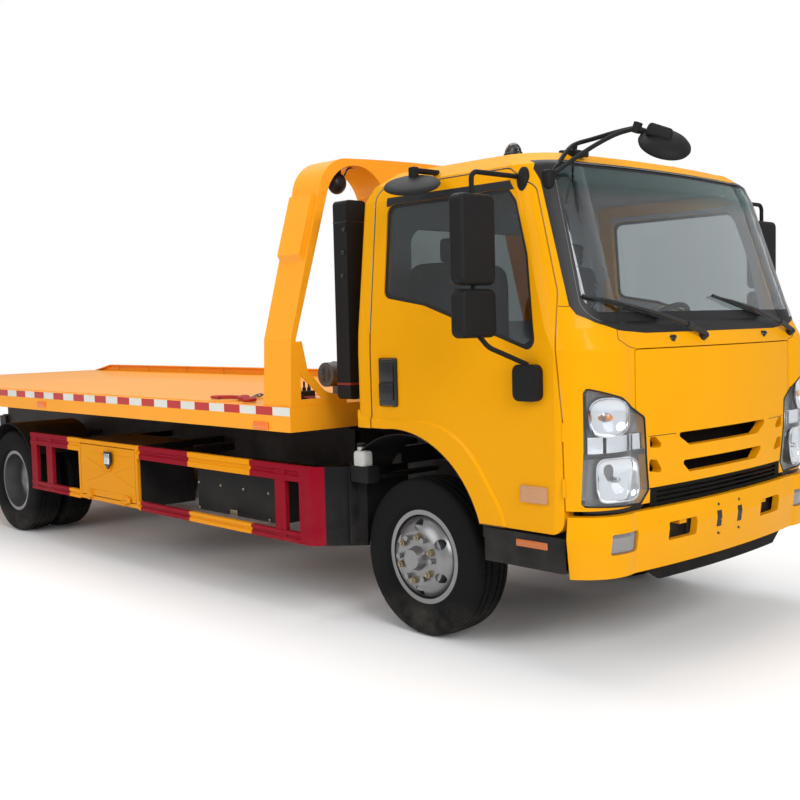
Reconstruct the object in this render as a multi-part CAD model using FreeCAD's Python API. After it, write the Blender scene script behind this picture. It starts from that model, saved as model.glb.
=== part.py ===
import FreeCAD, Part
import os
from math import asin, cos, pi, radians, sin, sqrt, tan

V = FreeCAD.Vector

# Flatbed tow truck, millimetres. Every x below is measured forward from the front axle, y to the
# truck's left and z up from the ground. save() moves all pieces so that the origin lies on the
# ground at the middle of the truck's length.

# Driving dimensions of the truck
wheelbase = 4475.0
tyre_radius = 398.0
tyre_width = 235.0
front_tyre_face = 950.0
rear_tyre_face = 1050.0
twin_gap = 36.0
cab_half_width = 1020.0
cab_front = 1140.0
cab_rear = -380.0
roof_height = 2345.0
deck_half_width = 1150.0
deck_front = -755.0
deck_crest = -7250.0
deck_tail = -7650.0
deck_height = 1130.0
rail_half_spacing = 400.0
rail_top = 805.0
rail_height = 215.0
guard_face = 1110.0

# Clearances and overrun
seat_gap = 0.3
running_gap = 0.05
move_gap = 6.0
overrun = 20.0
pin_radius = 20.0
corner_share = 0.45

# Tyres and rims
rim_radius = 238.0
rim_bead_radius = 222.0
rim_wall = 10.0
rim_flange = 8.0
tyre_bead_half = 84.0
tyre_section_shares = ((0.0, 0.71), (0.10, 0.71), (0.15, 0.88), (0.42, 1.0), (0.78, 0.95), (0.93, 0.87),
                       (1.0, 0.70))
hub_radius = 85.0
hub_bore = 32.0
disc_wall = 14.0
disc_root_share = 0.3
disc_bulge_share = 0.72
disc_bend_radius = 185.0
disc_flat_radius = 133.0
hub_cap_taper_share = 0.78
hand_hole_radius = 26.0
hand_hole_circle = 165.0
hand_holes = 6
stud_circle = 111.0
stud_radius = 14.0
stud_length = 26.0
stud_count = 6
hub_cap_radius = 62.0
hub_cap_length = 44.0
drum_radius = 165.0
drum_length = 90.0
spindle_length = 128.0
rear_hub_length = 60.0

# Front axle, knuckles and springs
kingpin_y = 735.0
kingpin_radius = 19.0
beam_depth = 80.0
beam_width = 70.0
beam_drop = 55.0
beam_seat_y = 520.0
boss_radius = 38.0
boss_height = 100.0
lug_height = 28.0
lug_reach = 40.0
steer_plate = 24.0
backing_radius = 160.0
backing_wall = 6.0
spring_half_length = 600.0
spring_width = 70.0
spring_leaf = 14.0
spring_leaves = 4
spring_camber = 60.0
spring_y = 365.0
leaf_step_share = 0.24
shackle_radius = 22.0

# Rear axle
rear_tube_radius = 58.0
banjo_radius = 175.0
banjo_length = 220.0
rear_spring_half_length = 640.0

# Chassis frame
rail_front = 960.0
rail_rear = -6120.0
rail_flange = 65.0
rail_wall = 8.0
crossmember_size = 90.0
crossmember_wall = 8.0
cab_post_size = 60.0
cab_post_places = (-270.0, 880.0)
crossmember_shares = (0.0, 0.33, 0.46, 0.70, 0.84, 0.985)

# Tilt frame and its hinge at the rear of the chassis
hinge_x = -5950.0
hinge_z = 868.0
hinge_boss_radius = 42.0
tilt_front = -1100.0
tilt_rail_height = 100.0
tilt_rail_width = 70.0
tilt_rail_wall = 8.0
tilt_pad = 12.0
hinge_lug = 24.0
subframe_width = 60.0
subframe_high_gap = 25.0
tilt_cross_shares = (0.0, 0.2, 0.62, 0.8, 1.0)
pad_shares = (0.01, 0.24, 0.5, 0.7, 0.93)
pin_head = 6.0

# Tilt cylinders
barrel_pin_x = -3900.0
barrel_pin_z = 640.0
rod_pin_x = -2860.0
rod_pin_z = 838.0
cylinder_y = 190.0
barrel_radius = 48.0
barrel_bore = 36.0
rod_radius = 26.0
cylinder_eye_radius = 36.0
cylinder_eye_width = 50.0
rod_hidden = 420.0

# Slide cylinder
slide_travel = 3300.0
slide_barrel_radius = 40.0
slide_barrel_bore = 30.0
slide_rod_radius = 22.0

# Deck
deck_plate = 8.0
floor_sheet = 4.0
floor_sheet_front = -1460.0
floor_sheet_margin = 46.0
deck_side_depth = 135.0
deck_cross_depth = 55.0
deck_cross_width = 60.0
deck_crosses = 10
deck_runner_width = 80.0
tail_drop = 105.0
tail_lip = 22.0
curb_height = 68.0
curb_width = 42.0
curb_front = -1010.0
curb_rear = -7200.0
curb_slope = 370.0

# Arch behind the cab, standing on the deck
arch_front = -762.0
arch_depth = 238.0
arch_top = 2495.0
arch_knee = 1490.0
arch_spring = 2290.0
arch_shoulder_outer = 900.0
arch_shoulder_mid_y = 838.0
arch_shoulder_mid_z = 2415.0
arch_beam_end = 690.0
arch_beam_sag = 20.0
arch_eye_outer = 841.0
arch_eye_low = 2290.0
arch_eye_y = 630.0
arch_eye_high = 2441.0
arch_web_half = 420.0
arch_web_low = 2215.0
ear_proud = 45.0
gusset_top = 40.0
gusset_waist = 75.0
gusset_reach = 345.0
arch_foot_outer = 1138.0
arch_foot_inner = 1091.0
arch_foot_lean = 14.0
arch_ear_low = 1900.0
arch_ear_top = 2268.0
gusset_wall = 12.0
gusset_curve_share = 0.55
gusset_window_share = 0.5

# Winch
winch_x = -1330.0
winch_half_width = 260.0
winch_radius = 75.0
winch_flange_radius = 115.0
winch_wall = 14.0
winch_motor_length = 150.0

# Side guards and toolboxes
guard_depth = 30.0
guard_top_low = 726.0
guard_top_high = 814.0
guard_foot_low = 392.0
guard_foot_high = 450.0
guard_front = -660.0
guard_rear = -4000.0
guard_groove = 9.0
guard_wall = 4.0
guard_post_width = 92.0
guard_turn = 215.0
guard_posts = (-970.0, -3750.0, -4000.0)
guard_arm_places = (-900.0, -2400.0, -3700.0)
guard_arm = 40.0
toolbox_front = -2440.0
toolbox_rear = -3240.0
toolbox_low = 400.0
toolbox_high = 812.0
toolbox_depth = 430.0
toolbox_wall = 12.0
toolbox_door_wall = 22.0
toolbox_door_margin = 26.0
toolbox_hinge_radius = 9.0
toolbox_hinge_shares = (0.2, 0.8)
strap_shares = (0.3, 0.8)
hanger_shares = (0.2, 0.7)
hanger_drop_share = 0.7

# Tanks and boxes between the wheels
fuel_front = -1180.0
fuel_length = 1120.0
fuel_inner_y = 470.0
fuel_outer_y = 960.0
fuel_low = 372.0
fuel_high = 760.0
fuel_corner = 90.0
battery_front = -1080.0
battery_length = 820.0
battery_inner_y = 560.0
battery_outer_y = 1000.0
battery_low = 440.0
battery_high = 720.0
silencer_x = -2250.0
silencer_length = 900.0
silencer_radius = 130.0
silencer_y = 540.0
silencer_z = 445.0

# Engine, gearbox and drive shaft
engine_front = 380.0
engine_length = 1000.0
engine_half_width = 270.0
engine_low = 470.0
engine_high = 985.0
gearbox_length = 620.0
gearbox_radius = 150.0
shaft_radius = 42.0
gearbox_taper_share = 0.6

# Cab shell
cab_wall = 44.0
cab_corner_depth = 230.0
cab_corner_mid_x = 92.0
cab_corner_mid_y = 82.0
cab_bow = 44.0
cab_shoulder_share = 0.705
cab_rear_corner = 60.0
cab_level_heights = (633.0, 1000.0, 1430.0, 1520.0, 2170.0, 2250.0, 2310.0, roof_height)
cab_front_setback = (15.0, 0.0, 2.0, 48.0, 250.0, 285.0, 360.0, 640.0)
cab_rear_setback = (0.0, 0.0, 0.0, 0.0, 10.0, 60.0, 170.0, 360.0)
cab_side_setback = (10.0, 2.0, 0.0, 4.0, 65.0, 90.0, 150.0, 320.0)
cab_floor = 1037.0
cab_floor_wall = 30.0
arch_centre_x = -90.0
arch_centre_z = 455.0
arch_lip_radius = 585.0
flare_proud = 9.0
flare_slope = 14.0
flare_front_low = 600.0
sill_height = 633.0
cab_level_inset_share = (0.0, 0.0, 0.0, 0.0, 0.25, 0.5, 0.75, 1.0)

# Doors
door_front = 941.0
door_rear = -252.0
door_top = 2236.0
door_front_high = 610.0
door_pillar_x = 893.0
door_pillar_z = 1677.0
door_brow_x = 750.0
door_brow_z = 2140.0
door_gap = 7.0
door_corner = 60.0
door_hinge_y = 1005.0
door_hinge_radius = 7.0
door_hinge_height = 40.0
door_hinge_levels = (800.0, 1040.0)
door_handle_front = -62.0
door_handle_width = 118.0
door_handle_low = 1157.0
door_handle_height = 230.0
handle_proud = 12.0
window_corner = 45.0
glass_set = 8.0
door_lip_x = 470.0
door_shoulder = 1135.0
door_sweep = 68.0
glass_wall = 6.0
glass_gap = 0.3

# Windscreen and rear window
screen_low = 1545.0
screen_high = 2262.0
screen_half_low = 925.0
screen_half_high = 850.0
screen_corner = 90.0
rear_window_half = 640.0
rear_window_low = 1560.0
rear_window_high = 2060.0

# Front panel, grille and lamps
panel_half_width = 690.0
panel_high = 1422.0
panel_low = 806.0
panel_gap = 5.0
slot_corner = 12.0
corner_low = 740.0
lamp_rear = 975.0
panel_flange = 30.0
bracket_half = 30.0
dash_slope = 60.0
column_length = 400.0
lamp_depth = 60.0
lamp_gap = 4.0
lower_grille_half = 590.0
lower_grille_low = 721.0
lower_grille_bars = 3
grille_bar_share = 0.4
grille_slot_share = 0.92
radiator_half_width = 520.0
radiator_wall = 70.0
radiator_x = 930.0
radiator_high = 1010.0

# Bumper
bumper_front = 1168.0
bumper_low = 445.0
bumper_high = 716.0
bumper_mid = 620.0
bumper_rear = 962.0
bumper_wall = 34.0
bumper_tuck = 24.0
valance_low = 386.0
valance_foot = 520.0
valance_head = 625.0
valance_wall = 12.0
bumper_hole_inner = 295.0
bumper_hole_outer = 504.0
bumper_hole_low = 562.0
bumper_hole_high = 645.0
fog_inner = 715.0
fog_outer = 885.0
fog_low = 548.0
fog_high = 640.0
plate_hole_radius = 6.0
plate_hole_spacing_y = 188.0
plate_hole_spacing_z = 70.0
plate_hole_z = 569.0
tow_bore_radius = 20.0
tow_eye_radius = 48.0
tow_eye_wall = 30.0
tow_eye_x = 1045.0
tow_eye_z = 400.0

# Cab inside
seat_low = 1190.0
seat_high = 1345.0
seat_rear = -250.0
seat_depth = 520.0
seat_back_high = 2010.0
seat_back_wall = 130.0
driver_y = 500.0
driver_half = 240.0
bench_outer = 800.0
bench_inner = -60.0
seat_base_inset = 40.0
dash_rear = 640.0
dash_front = 1000.0
dash_low = 1190.0
dash_high = 1470.0
dash_half = 930.0
wheel_x = 430.0
wheel_z = 1480.0
wheel_ring_radius = 205.0
wheel_rim_radius = 15.0
wheel_tilt = 45.0
spoke_share = 0.8
dash_foot_share = 0.6
column_radius = 28.0

# Mirrors
mirror_x = 660.0
mirror_depth = 80.0
mirror_inner_y = 1130.0
mirror_outer_y = 1350.0
mirror_low = 1715.0
mirror_high = 2100.0
wide_low = 1490.0
wide_high = 1698.0
mirror_corner = 34.0
mirror_soft = 20.0
mirror_tube = 11.0
mirror_arm_high = 2195.0
mirror_foot_x = 783.0
mirror_foot_z = 1290.0
mirror_foot_width = 140.0
mirror_foot_height = 160.0
mirror_foot_depth = 40.0
kerb_mirror_x = 150.0
kerb_mirror_y = 1110.0
kerb_mirror_z = 2178.0
kerb_mirror_radius = 125.0
kerb_mirror_wall = 26.0
look_x = 1165.0
look_y = -570.0
look_z = 2272.0
look_radius = 120.0
look_rise = 62.0
look_rim = 12.0
look_lean = 16.0
look_root_high = (800.0, -790.0, 2262.0)
look_root_low = (800.0, -850.0, 2200.0)
look_elbow = (1055.0, -610.0, 2372.0)
wiper_pivots = (-60.0, 540.0)
wiper_z = 1478.0
wiper_length = 560.0
wiper_rise = 110.0
wiper_radius = 8.0
wiper_lift = 22.0

# Duct, steps, mudguards and bottle
duct_half_depth = 52.0
duct_x = -520.0
duct_y = -900.0
duct_half_width = 70.0
duct_low = 1170.0
duct_high = 2205.0
duct_wall = 10.0
step_front = 955.0
step_rear = 500.0
step_low = 470.0
step_high = 622.0
step_inner = 700.0
step_wall = 12.0
guard_arc_radius = 556.0
guard_arc_wall = 6.0
guard_arc_inner = 640.0
guard_arc_outer = 960.0
guard_arc_flap = 935.0
guard_arc_foot = 470.0
guard_arm_share = 0.6
guard_hook_share = 0.8
rear_guard_radius = 452.0
rear_guard_wall = 5.0
rear_guard_inner = 530.0
rear_guard_outer = 1068.0
rear_guard_low_share = 0.25
rear_guard_front_share = 0.86
rear_arm_share = 0.55

# Rear lamp bar
lamp_bar_x = -6060.0
lamp_bar_low = 480.0
lamp_bar_height = 100.0
lamp_bar_depth = 60.0
lamp_bar_half = 1060.0
tail_lamp_width = 330.0
tail_lamp_height = 90.0
tail_lamp_depth = 40.0

# Places that follow from the sizes above
front_reach = look_x + look_radius
tail_reach = -deck_tail
origin_shift = (tail_reach - front_reach) / 2
front_tyre_y = front_tyre_face - tyre_width / 2
outer_twin_y = rear_tyre_face - tyre_width / 2
inner_twin_y = outer_twin_y - tyre_width - twin_gap
deck_low = deck_height - deck_plate - deck_cross_depth
tilt_top = deck_low - tilt_pad
tilt_low = tilt_top - tilt_rail_height
rail_low = rail_top - rail_height
twin_offset = (tyre_width + twin_gap) / 2
subframe_top = tilt_low - subframe_high_gap
slide_z = tilt_low - slide_barrel_radius - seat_gap * 2
door_hinge_x = door_front + door_gap / 2
slide_bracket_x = hinge_x - hinge_boss_radius * 2 - deck_cross_width - move_gap * 2
door_points = ((door_rear, cab_floor - cab_floor_wall), (door_lip_x - door_corner, sill_height),
               (door_front, sill_height), (door_front, door_shoulder), (door_pillar_x, door_pillar_z),
               (door_brow_x, door_brow_z),
               (door_front_high, door_top), (door_rear, door_top))
door_window = ((-165.0, 2146.0), (-165.0, 1689.0), (115.0, 1643.0), (628.0, 1476.0), (818.0, 1412.0),
               (750.0, 1846.0), (672.0, 2090.0), (625.0, 2146.0))
lamp_points = ((-960.0, 1262.0), (-800.0, 1216.0), (-639.0, 1122.0), (-628.0, 960.0), (-605.0, 800.0),
               (-655.0, 745.0), (-960.0, 765.0))
centre_slots = (((-422.0, 1038.0), (422.0, 1038.0), (310.0, 974.0), (-310.0, 974.0)),
                ((-376.0, 908.0), (376.0, 908.0), (304.0, 850.0), (-304.0, 850.0)))
outer_slots = (((-600.0, 1033.0), (-560.0, 1033.0), (-500.0, 980.0), (-600.0, 987.0)),
               ((-600.0, 935.0), (-550.0, 929.0), (-500.0, 865.0), (-600.0, 880.0)))
grille_slots = centre_slots + outer_slots
flare_ridge = ((74.0, 1094.0), (265.0, 1060.0), (404.0, 972.0), (518.0, 818.0), (595.0, 685.0),
               (625.0, flare_front_low))


def save(name, shape):
    """Write one named piece, moved to the truck's own origin."""
    solids = shape.translated(V(origin_shift, 0, 0)).Solids
    piece = solids[0] if len(solids) == 1 else Part.makeCompound(solids)
    piece.exportStep(os.path.join("parts", name + ".step"))
    print(name, len(solids), "solids", round(sum(s.Volume for s in solids) / 1e6, 2), "litres")


def box(x0, x1, y0, y1, z0, z1):
    return Part.makeBox(x1 - x0, y1 - y0, z1 - z0, V(x0, y0, z0))


def rod(start, end, radius):
    along = end - start
    return Part.makeCylinder(radius, along.Length, start, along)


def pipe(start, end, radius, bore):
    return rod(start, end, radius).cut(rod(start, end, bore))


def fused(shapes):
    whole = shapes[0].fuse(shapes[1:]) if len(shapes) > 1 else shapes[0]
    return whole.removeSplitter()


def mirrored(shape):
    return shape.mirror(V(0, 0, 0), V(0, 1, 0))


def both(shape):
    """The piece on the right-hand side and its mirror image on the left."""
    return Part.makeCompound(shape.Solids + mirrored(shape).Solids)


def wire(points):
    return Part.makePolygon(points + [points[0]])


def rounded_wire(points, radius):
    """A closed outline with each corner rounded, as far as its two sides allow."""
    corners = []
    for i, corner in enumerate(points):
        back = points[i - 1] - corner
        ahead = points[(i + 1) % len(points)] - corner
        half = back.getAngle(ahead) / 2
        cut = min(radius / tan(half), back.Length * corner_share, ahead.Length * corner_share)
        bend = cut * tan(half)
        back = back.normalize()
        ahead = ahead.normalize()
        middle = (back + ahead).normalize() * (bend / sin(half) - bend)
        corners.append((corner + back * cut, corner + middle, corner + ahead * cut))
    edges = []
    for i, (start, middle, end) in enumerate(corners):
        edges.append(Part.Arc(start, middle, end).toShape())
        following = corners[(i + 1) % len(corners)][0]
        edges.append(Part.makeLine(end, following))
    return Part.Wire(edges)


def slab(outline, along):
    return Part.Face(outline).extrude(along)


def side_slab(points, y0, y1, radius=0):
    """A plate from an (x, z) outline, between two y."""
    corners = [V(x, y0, z) for x, z in points]
    outline = rounded_wire(corners, radius) if radius else wire(corners)
    return slab(outline, V(0, y1 - y0, 0))


def front_slab(points, x0, x1, radius=0):
    """A plate from a (y, z) outline, between two x."""
    corners = [V(x0, y, z) for y, z in points]
    outline = rounded_wire(corners, radius) if radius else wire(corners)
    return slab(outline, V(x1 - x0, 0, 0))


def turned(profile, centre):
    """A ring turned about the y axis through a centre, from (radius, y) points."""
    points = [V(centre.x, centre.y + y, centre.z + r) for r, y in profile]
    return Part.Face(wire(points)).revolve(centre, V(0, 1, 0), 360)


def bent_tube(points, radius, bend):
    """A tube along straight runs with rounded bends."""
    edges = []
    start = points[0]
    for i in range(1, len(points) - 1):
        corner = points[i]
        back = (points[i - 1] - corner)
        ahead = (points[i + 1] - corner)
        half = back.getAngle(ahead) / 2
        cut = min(bend / tan(half), back.Length * corner_share, ahead.Length * corner_share)
        arc = cut * tan(half)
        back = back.normalize()
        ahead = ahead.normalize()
        middle = corner + (back + ahead).normalize() * (arc / sin(half) - arc)
        edges.append(Part.makeLine(start, corner + back * cut))
        edges.append(Part.Arc(corner + back * cut, middle, corner + ahead * cut).toShape())
        start = corner + ahead * cut
    edges.append(Part.makeLine(start, points[-1]))
    path = Part.Wire(edges)
    circle = Part.Wire(Part.makeCircle(radius, points[0], points[1] - points[0]))
    return path.makePipeShell([circle], True, True)


# Wheels: the right-hand ones are modelled, outwards towards minus y, and mirrored for the left

def tyre(centre_y):
    height = tyre_radius - rim_bead_radius
    half = tyre_width / 2
    outer = [(rim_bead_radius + h * height, -w * half) for h, w in tyre_section_shares]
    inner = [(r, -y) for r, y in reversed(outer)]
    return turned(outer + inner, V(0, centre_y, tyre_radius))


def rim(centre_y, offset):
    """A pressed steel wheel; offset is how far outwards its disc stands, minus for a dished one."""
    side = 1 if offset > 0 else -1
    half = tyre_bead_half + rim_flange
    seat = rim_bead_radius - seat_gap
    inside = seat - rim_wall
    barrel = turned([(inside, -half), (rim_radius, -half), (rim_radius, -tyre_bead_half),
                     (seat, -tyre_bead_half), (seat, tyre_bead_half), (rim_radius, tyre_bead_half),
                     (rim_radius, half), (inside, half)], V(0, centre_y, tyre_radius))
    root = centre_y - side * tyre_bead_half * disc_root_share
    face = centre_y - offset
    wall = V(0, side * disc_wall, 0)
    bulge = root + (face - root) * disc_bulge_share
    places = [V(0, root, tyre_radius + seat - rim_wall / 2), V(0, bulge, tyre_radius + disc_bend_radius),
              V(0, face, tyre_radius + disc_flat_radius), V(0, face, tyre_radius + hub_bore)]
    behind = [place + wall for place in places]
    section = Part.Wire([Part.Arc(*places[:3]).toShape(), Part.makeLine(places[2], places[3]),
                         Part.makeLine(places[3], behind[3]), Part.makeLine(behind[3], behind[2]),
                         Part.Arc(behind[2], behind[1], behind[0]).toShape(), Part.makeLine(behind[0], places[0])])
    disc = Part.Face(section).revolve(V(0, centre_y, tyre_radius), V(0, 1, 0), 360)
    for i in range(hand_holes):
        angle = 2 * pi * (i + 0.5) / hand_holes
        spot = V(hand_hole_circle * cos(angle), centre_y, tyre_radius + hand_hole_circle * sin(angle))
        disc = disc.cut(rod(spot - V(0, tyre_width, 0), spot + V(0, tyre_width, 0), hand_hole_radius))
    return barrel.fuse(disc)


def studs(face_y):
    """Six nuts standing outwards from a wheel face, and the hub cap between them."""
    bits = []
    for i in range(stud_count):
        angle = 2 * pi * i / stud_count
        spot = V(stud_circle * cos(angle), face_y, tyre_radius + stud_circle * sin(angle))
        bits.append(rod(spot, spot - V(0, stud_length, 0), stud_radius))
    return bits


def hub_cap(face_y):
    start = V(0, face_y, tyre_radius)
    return Part.makeCone(hub_cap_radius, hub_cap_radius * hub_cap_taper_share, hub_cap_length, start, V(0, -1, 0))


def front_wheel():
    """Rim, drum, hub, nuts and cap of the right front wheel, with the bore that the spindle runs in."""
    offset = twin_offset
    face = -front_tyre_y - offset
    back = face + disc_wall
    axis = V(0, 0, tyre_radius)
    drum = rod(axis + V(0, back, 0), axis + V(0, back + drum_length, 0), drum_radius)
    hollow = rod(axis + V(0, back + disc_wall, 0), axis + V(0, back + drum_length, 0),
                 drum_radius - disc_wall)
    hub = rod(axis + V(0, back, 0), axis + V(0, back + drum_length, 0), hub_radius)
    whole = rim(-front_tyre_y, offset).fuse([drum.cut(hollow), hub, hub_cap(face)] + studs(face))
    bore = rod(axis + V(0, face + disc_wall, 0), axis + V(0, back + drum_length, 0), hub_bore)
    return whole.cut(bore).removeSplitter()


def rear_twin():
    """Both rims of the right rear pair, on one drum and hub."""
    offset = twin_offset
    middle = -(outer_twin_y + inner_twin_y) / 2
    axis = V(0, 0, tyre_radius)
    drum_end = middle + disc_wall + drum_length
    drum = rod(axis + V(0, middle + disc_wall, 0), axis + V(0, drum_end, 0), drum_radius)
    hollow = rod(axis + V(0, middle + disc_wall * 2, 0), axis + V(0, drum_end, 0), drum_radius - disc_wall)
    hub = rod(axis + V(0, middle - rear_hub_length, 0), axis + V(0, drum_end, 0), hub_radius)
    outer = rim(-outer_twin_y, -offset)
    inner = rim(-inner_twin_y, offset)
    whole = outer.fuse([inner, drum.cut(hollow), hub] + studs(middle - disc_wall))
    bore = rod(axis + V(0, middle - rear_hub_length + disc_wall, 0), axis + V(0, drum_end, 0), hub_bore)
    return whole.cut(bore).removeSplitter()


def rear_tyres():
    pair = Part.makeCompound([tyre(-outer_twin_y), tyre(-inner_twin_y)])
    return pair.translated(V(-wheelbase, 0, 0))


# Front axle and what steers on it
def leaf(half_length, level, camber, y, x):
    """One spring leaf: an arc seen from the side."""
    rise = camber * (half_length / spring_half_length) ** 2
    low = Part.Arc(V(x - half_length, y, level + rise), V(x, y, level), V(x + half_length, y, level + rise))
    top = level + spring_leaf
    high = Part.Arc(V(x + half_length, y, top + rise), V(x, y, top), V(x - half_length, y, top + rise))
    ends = [Part.makeLine(V(x + half_length, y, level + rise), V(x + half_length, y, top + rise)),
            Part.makeLine(V(x - half_length, y, top + rise), V(x - half_length, y, level + rise))]
    outline = Part.Wire([low.toShape(), ends[0], high.toShape(), ends[1]])
    return slab(outline, V(0, spring_width, 0))


def spring(x, seat_level, half_length, camber):
    """A pack of leaves with its two hangers, under the right rail."""
    y = -spring_y - spring_width / 2
    leaves = []
    for i in range(spring_leaves):
        share = 1 - leaf_step_share * (spring_leaves - 1 - i)
        leaves.append(leaf(half_length * share, seat_level + i * spring_leaf, camber, y, x))
    top = seat_level + spring_leaves * spring_leaf
    leaves.append(box(x - beam_width / 2, x + beam_width / 2, y, y + spring_width,
                      seat_level - spring_leaf / 2, top + spring_leaf))
    rise = camber * (half_length / spring_half_length) ** 2
    for end in (-1, 1):
        hanger_x = x + end * (half_length - shackle_radius)
        leaves.append(box(hanger_x - shackle_radius, hanger_x + shackle_radius, y, y + spring_width,
                          top + rise - spring_leaf * 2, rail_low - seat_gap))
    return fused(leaves)


def front_axle():
    centre = V(0, 0, tyre_radius)
    high = tyre_radius + beam_depth / 2
    low = tyre_radius - beam_depth / 2
    end = kingpin_y - boss_radius / 2
    turn = beam_seat_y
    inner = beam_seat_y - beam_drop
    outline = [(-end, high), (-turn, high), (-inner, high - beam_drop), (inner, high - beam_drop),
               (turn, high), (end, high), (end, low), (turn, low), (inner, low - beam_drop),
               (-inner, low - beam_drop), (-turn, low), (-end, low)]
    beam = front_slab(outline, -beam_width / 2, beam_width / 2)
    pieces = [beam]
    for side in (-1, 1):
        pin = V(0, side * kingpin_y, tyre_radius)
        half = V(0, 0, boss_height / 2)
        pieces.append(rod(pin - half, pin + half, boss_radius))
        reach = V(0, 0, boss_height / 2 + move_gap + lug_height)
        pieces.append(rod(pin - reach, pin + reach, kingpin_radius))
    pack = spring(0, high - beam_drop, spring_half_length, spring_camber)
    return fused(pieces + [pack, mirrored(pack)])


def knuckle():
    """The right knuckle: two lugs round the kingpin, a plate, the brake's backing plate and the spindle."""
    inner = -kingpin_y + lug_reach
    plate_in = -kingpin_y - boss_radius - move_gap
    plate_out = plate_in - steer_plate
    low = boss_height / 2 + move_gap
    lugs = []
    for side in (-1, 1):
        z0 = tyre_radius + min(side * low, side * (low + lug_height))
        lugs.append(box(-lug_reach, lug_reach, plate_out, inner, z0, z0 + lug_height))
    reach = low + lug_height
    plate = box(-lug_reach, lug_reach, plate_out, plate_in, tyre_radius - reach, tyre_radius + reach)
    axis = V(0, 0, tyre_radius)
    drum_end = -front_tyre_y - twin_offset + disc_wall + drum_length
    back = axis + V(0, drum_end + move_gap, 0)
    backing = rod(back, back + V(0, backing_wall, 0), backing_radius)
    shoulder = rod(axis + V(0, plate_out, 0), axis + V(0, drum_end + running_gap * 2, 0),
                   hub_bore + disc_wall)
    spindle = rod(axis + V(0, plate_out, 0), axis + V(0, drum_end - spindle_length + disc_wall * 3, 0),
                  hub_bore - running_gap)
    whole = fused(lugs + [plate, backing, shoulder, spindle])
    pin = V(0, -kingpin_y, 0)
    return whole.cut(rod(pin, pin + V(0, 0, tyre_radius * 2), kingpin_radius + running_gap))


def rear_axle():
    axis = V(-wheelbase, 0, tyre_radius)
    middle = (outer_twin_y + inner_twin_y) / 2
    drum_end = middle - disc_wall - drum_length
    tube = rod(axis - V(0, drum_end - move_gap, 0), axis + V(0, drum_end - move_gap, 0), rear_tube_radius)
    spindle = rod(axis - V(0, middle, 0), axis + V(0, middle, 0), hub_bore - running_gap)
    banjo = rod(axis - V(0, banjo_length / 2, 0), axis + V(0, banjo_length / 2, 0), banjo_radius)
    stubs = []
    for side in (-1, 1):
        at = axis + V(0, side * (drum_end - move_gap), 0)
        stubs.append(rod(at, at + V(0, side * (move_gap - running_gap * 2), 0), hub_bore + disc_wall))
        stubs.append(rod(at - V(0, side * backing_wall, 0), at, backing_radius))
    pack = spring(-wheelbase, tyre_radius + rear_tube_radius - spring_leaf / 2, rear_spring_half_length,
                  spring_camber / 2)
    return fused([tube, spindle, banjo, pack, mirrored(pack)] + stubs)


# Chassis
def chassis_frame():
    """Two channel rails, their cross members and the towing eye at the front."""
    web = -rail_half_spacing
    flange = web + rail_flange
    outside = box(rail_rear, rail_front, web, flange, rail_low, rail_top)
    inside = box(rail_rear - overrun, rail_front + overrun, web + rail_wall, flange + overrun,
                 rail_low + rail_wall, rail_top - rail_wall)
    rail = outside.cut(inside)
    length = rail_front - rail_rear
    members = []
    for share in crossmember_shares:
        x = rail_front - share * length
        z1 = rail_top - rail_wall * 2
        start = box(x - crossmember_size, x, web + rail_wall, -web - rail_wall, z1 - crossmember_size, z1)
        hollow = box(x - crossmember_size + crossmember_wall, x - crossmember_wall, web, -web,
                     z1 - crossmember_size + crossmember_wall, z1 - crossmember_wall)
        members.append(start.cut(hollow))
    pin = V(barrel_pin_x, 0, barrel_pin_z)
    cross_pin = rod(pin + V(0, web + rail_wall / 2, 0), pin - V(0, web + rail_wall / 2, 0), pin_radius)
    eye = V(tow_eye_x, 0, tow_eye_z)
    tongue = fused([
        rod(eye, eye + V(0, 0, tow_eye_wall), tow_eye_radius),
        box(rail_front - crossmember_size, tow_eye_x, -tow_eye_radius, tow_eye_radius, tow_eye_z,
            tow_eye_z + tow_eye_wall),
        box(rail_front - crossmember_size, rail_front - crossmember_size + tow_eye_wall, -tow_eye_radius,
            tow_eye_radius, tow_eye_z, rail_top - rail_wall * 2 - crossmember_size)])
    tongue = tongue.cut(rod(eye - V(0, 0, overrun), eye + V(0, 0, tow_eye_wall + overrun), tow_bore_radius))
    posts = []
    for x in cab_post_places:
        post = box(x - cab_post_size, x, web, flange, rail_top, cab_floor - seat_gap)
        posts += [post, mirrored(post)]
    return fused([rail, mirrored(rail), cross_pin, tongue] + members + posts)


def subframe():
    """The fixed box rails on the chassis, with the tilt hinge's pins and the rubber pads."""
    web = -rail_half_spacing
    inner = web + subframe_width
    rear = hinge_x - hinge_boss_radius - move_gap * 2
    rail = box(rear, tilt_front, web, inner, rail_top, subframe_top)
    hollow = box(rear - overrun, tilt_front + overrun, web + tilt_rail_wall, inner - tilt_rail_wall,
                 rail_top + tilt_rail_wall, subframe_top - tilt_rail_wall)
    pin = V(hinge_x, 0, hinge_z)
    reach = inner + tilt_rail_wall + move_gap * 2 + hinge_lug
    hinge_pin = rod(pin + V(0, web, 0), pin + V(0, reach, 0), pin_radius)
    pads = []
    length = tilt_front - hinge_x
    for share in pad_shares:
        x = tilt_front - share * length
        pads.append(box(x - subframe_width, x, web, inner, subframe_top, tilt_low - seat_gap))
    piece = fused([rail.cut(hollow), hinge_pin] + pads)
    return both(piece)


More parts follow.
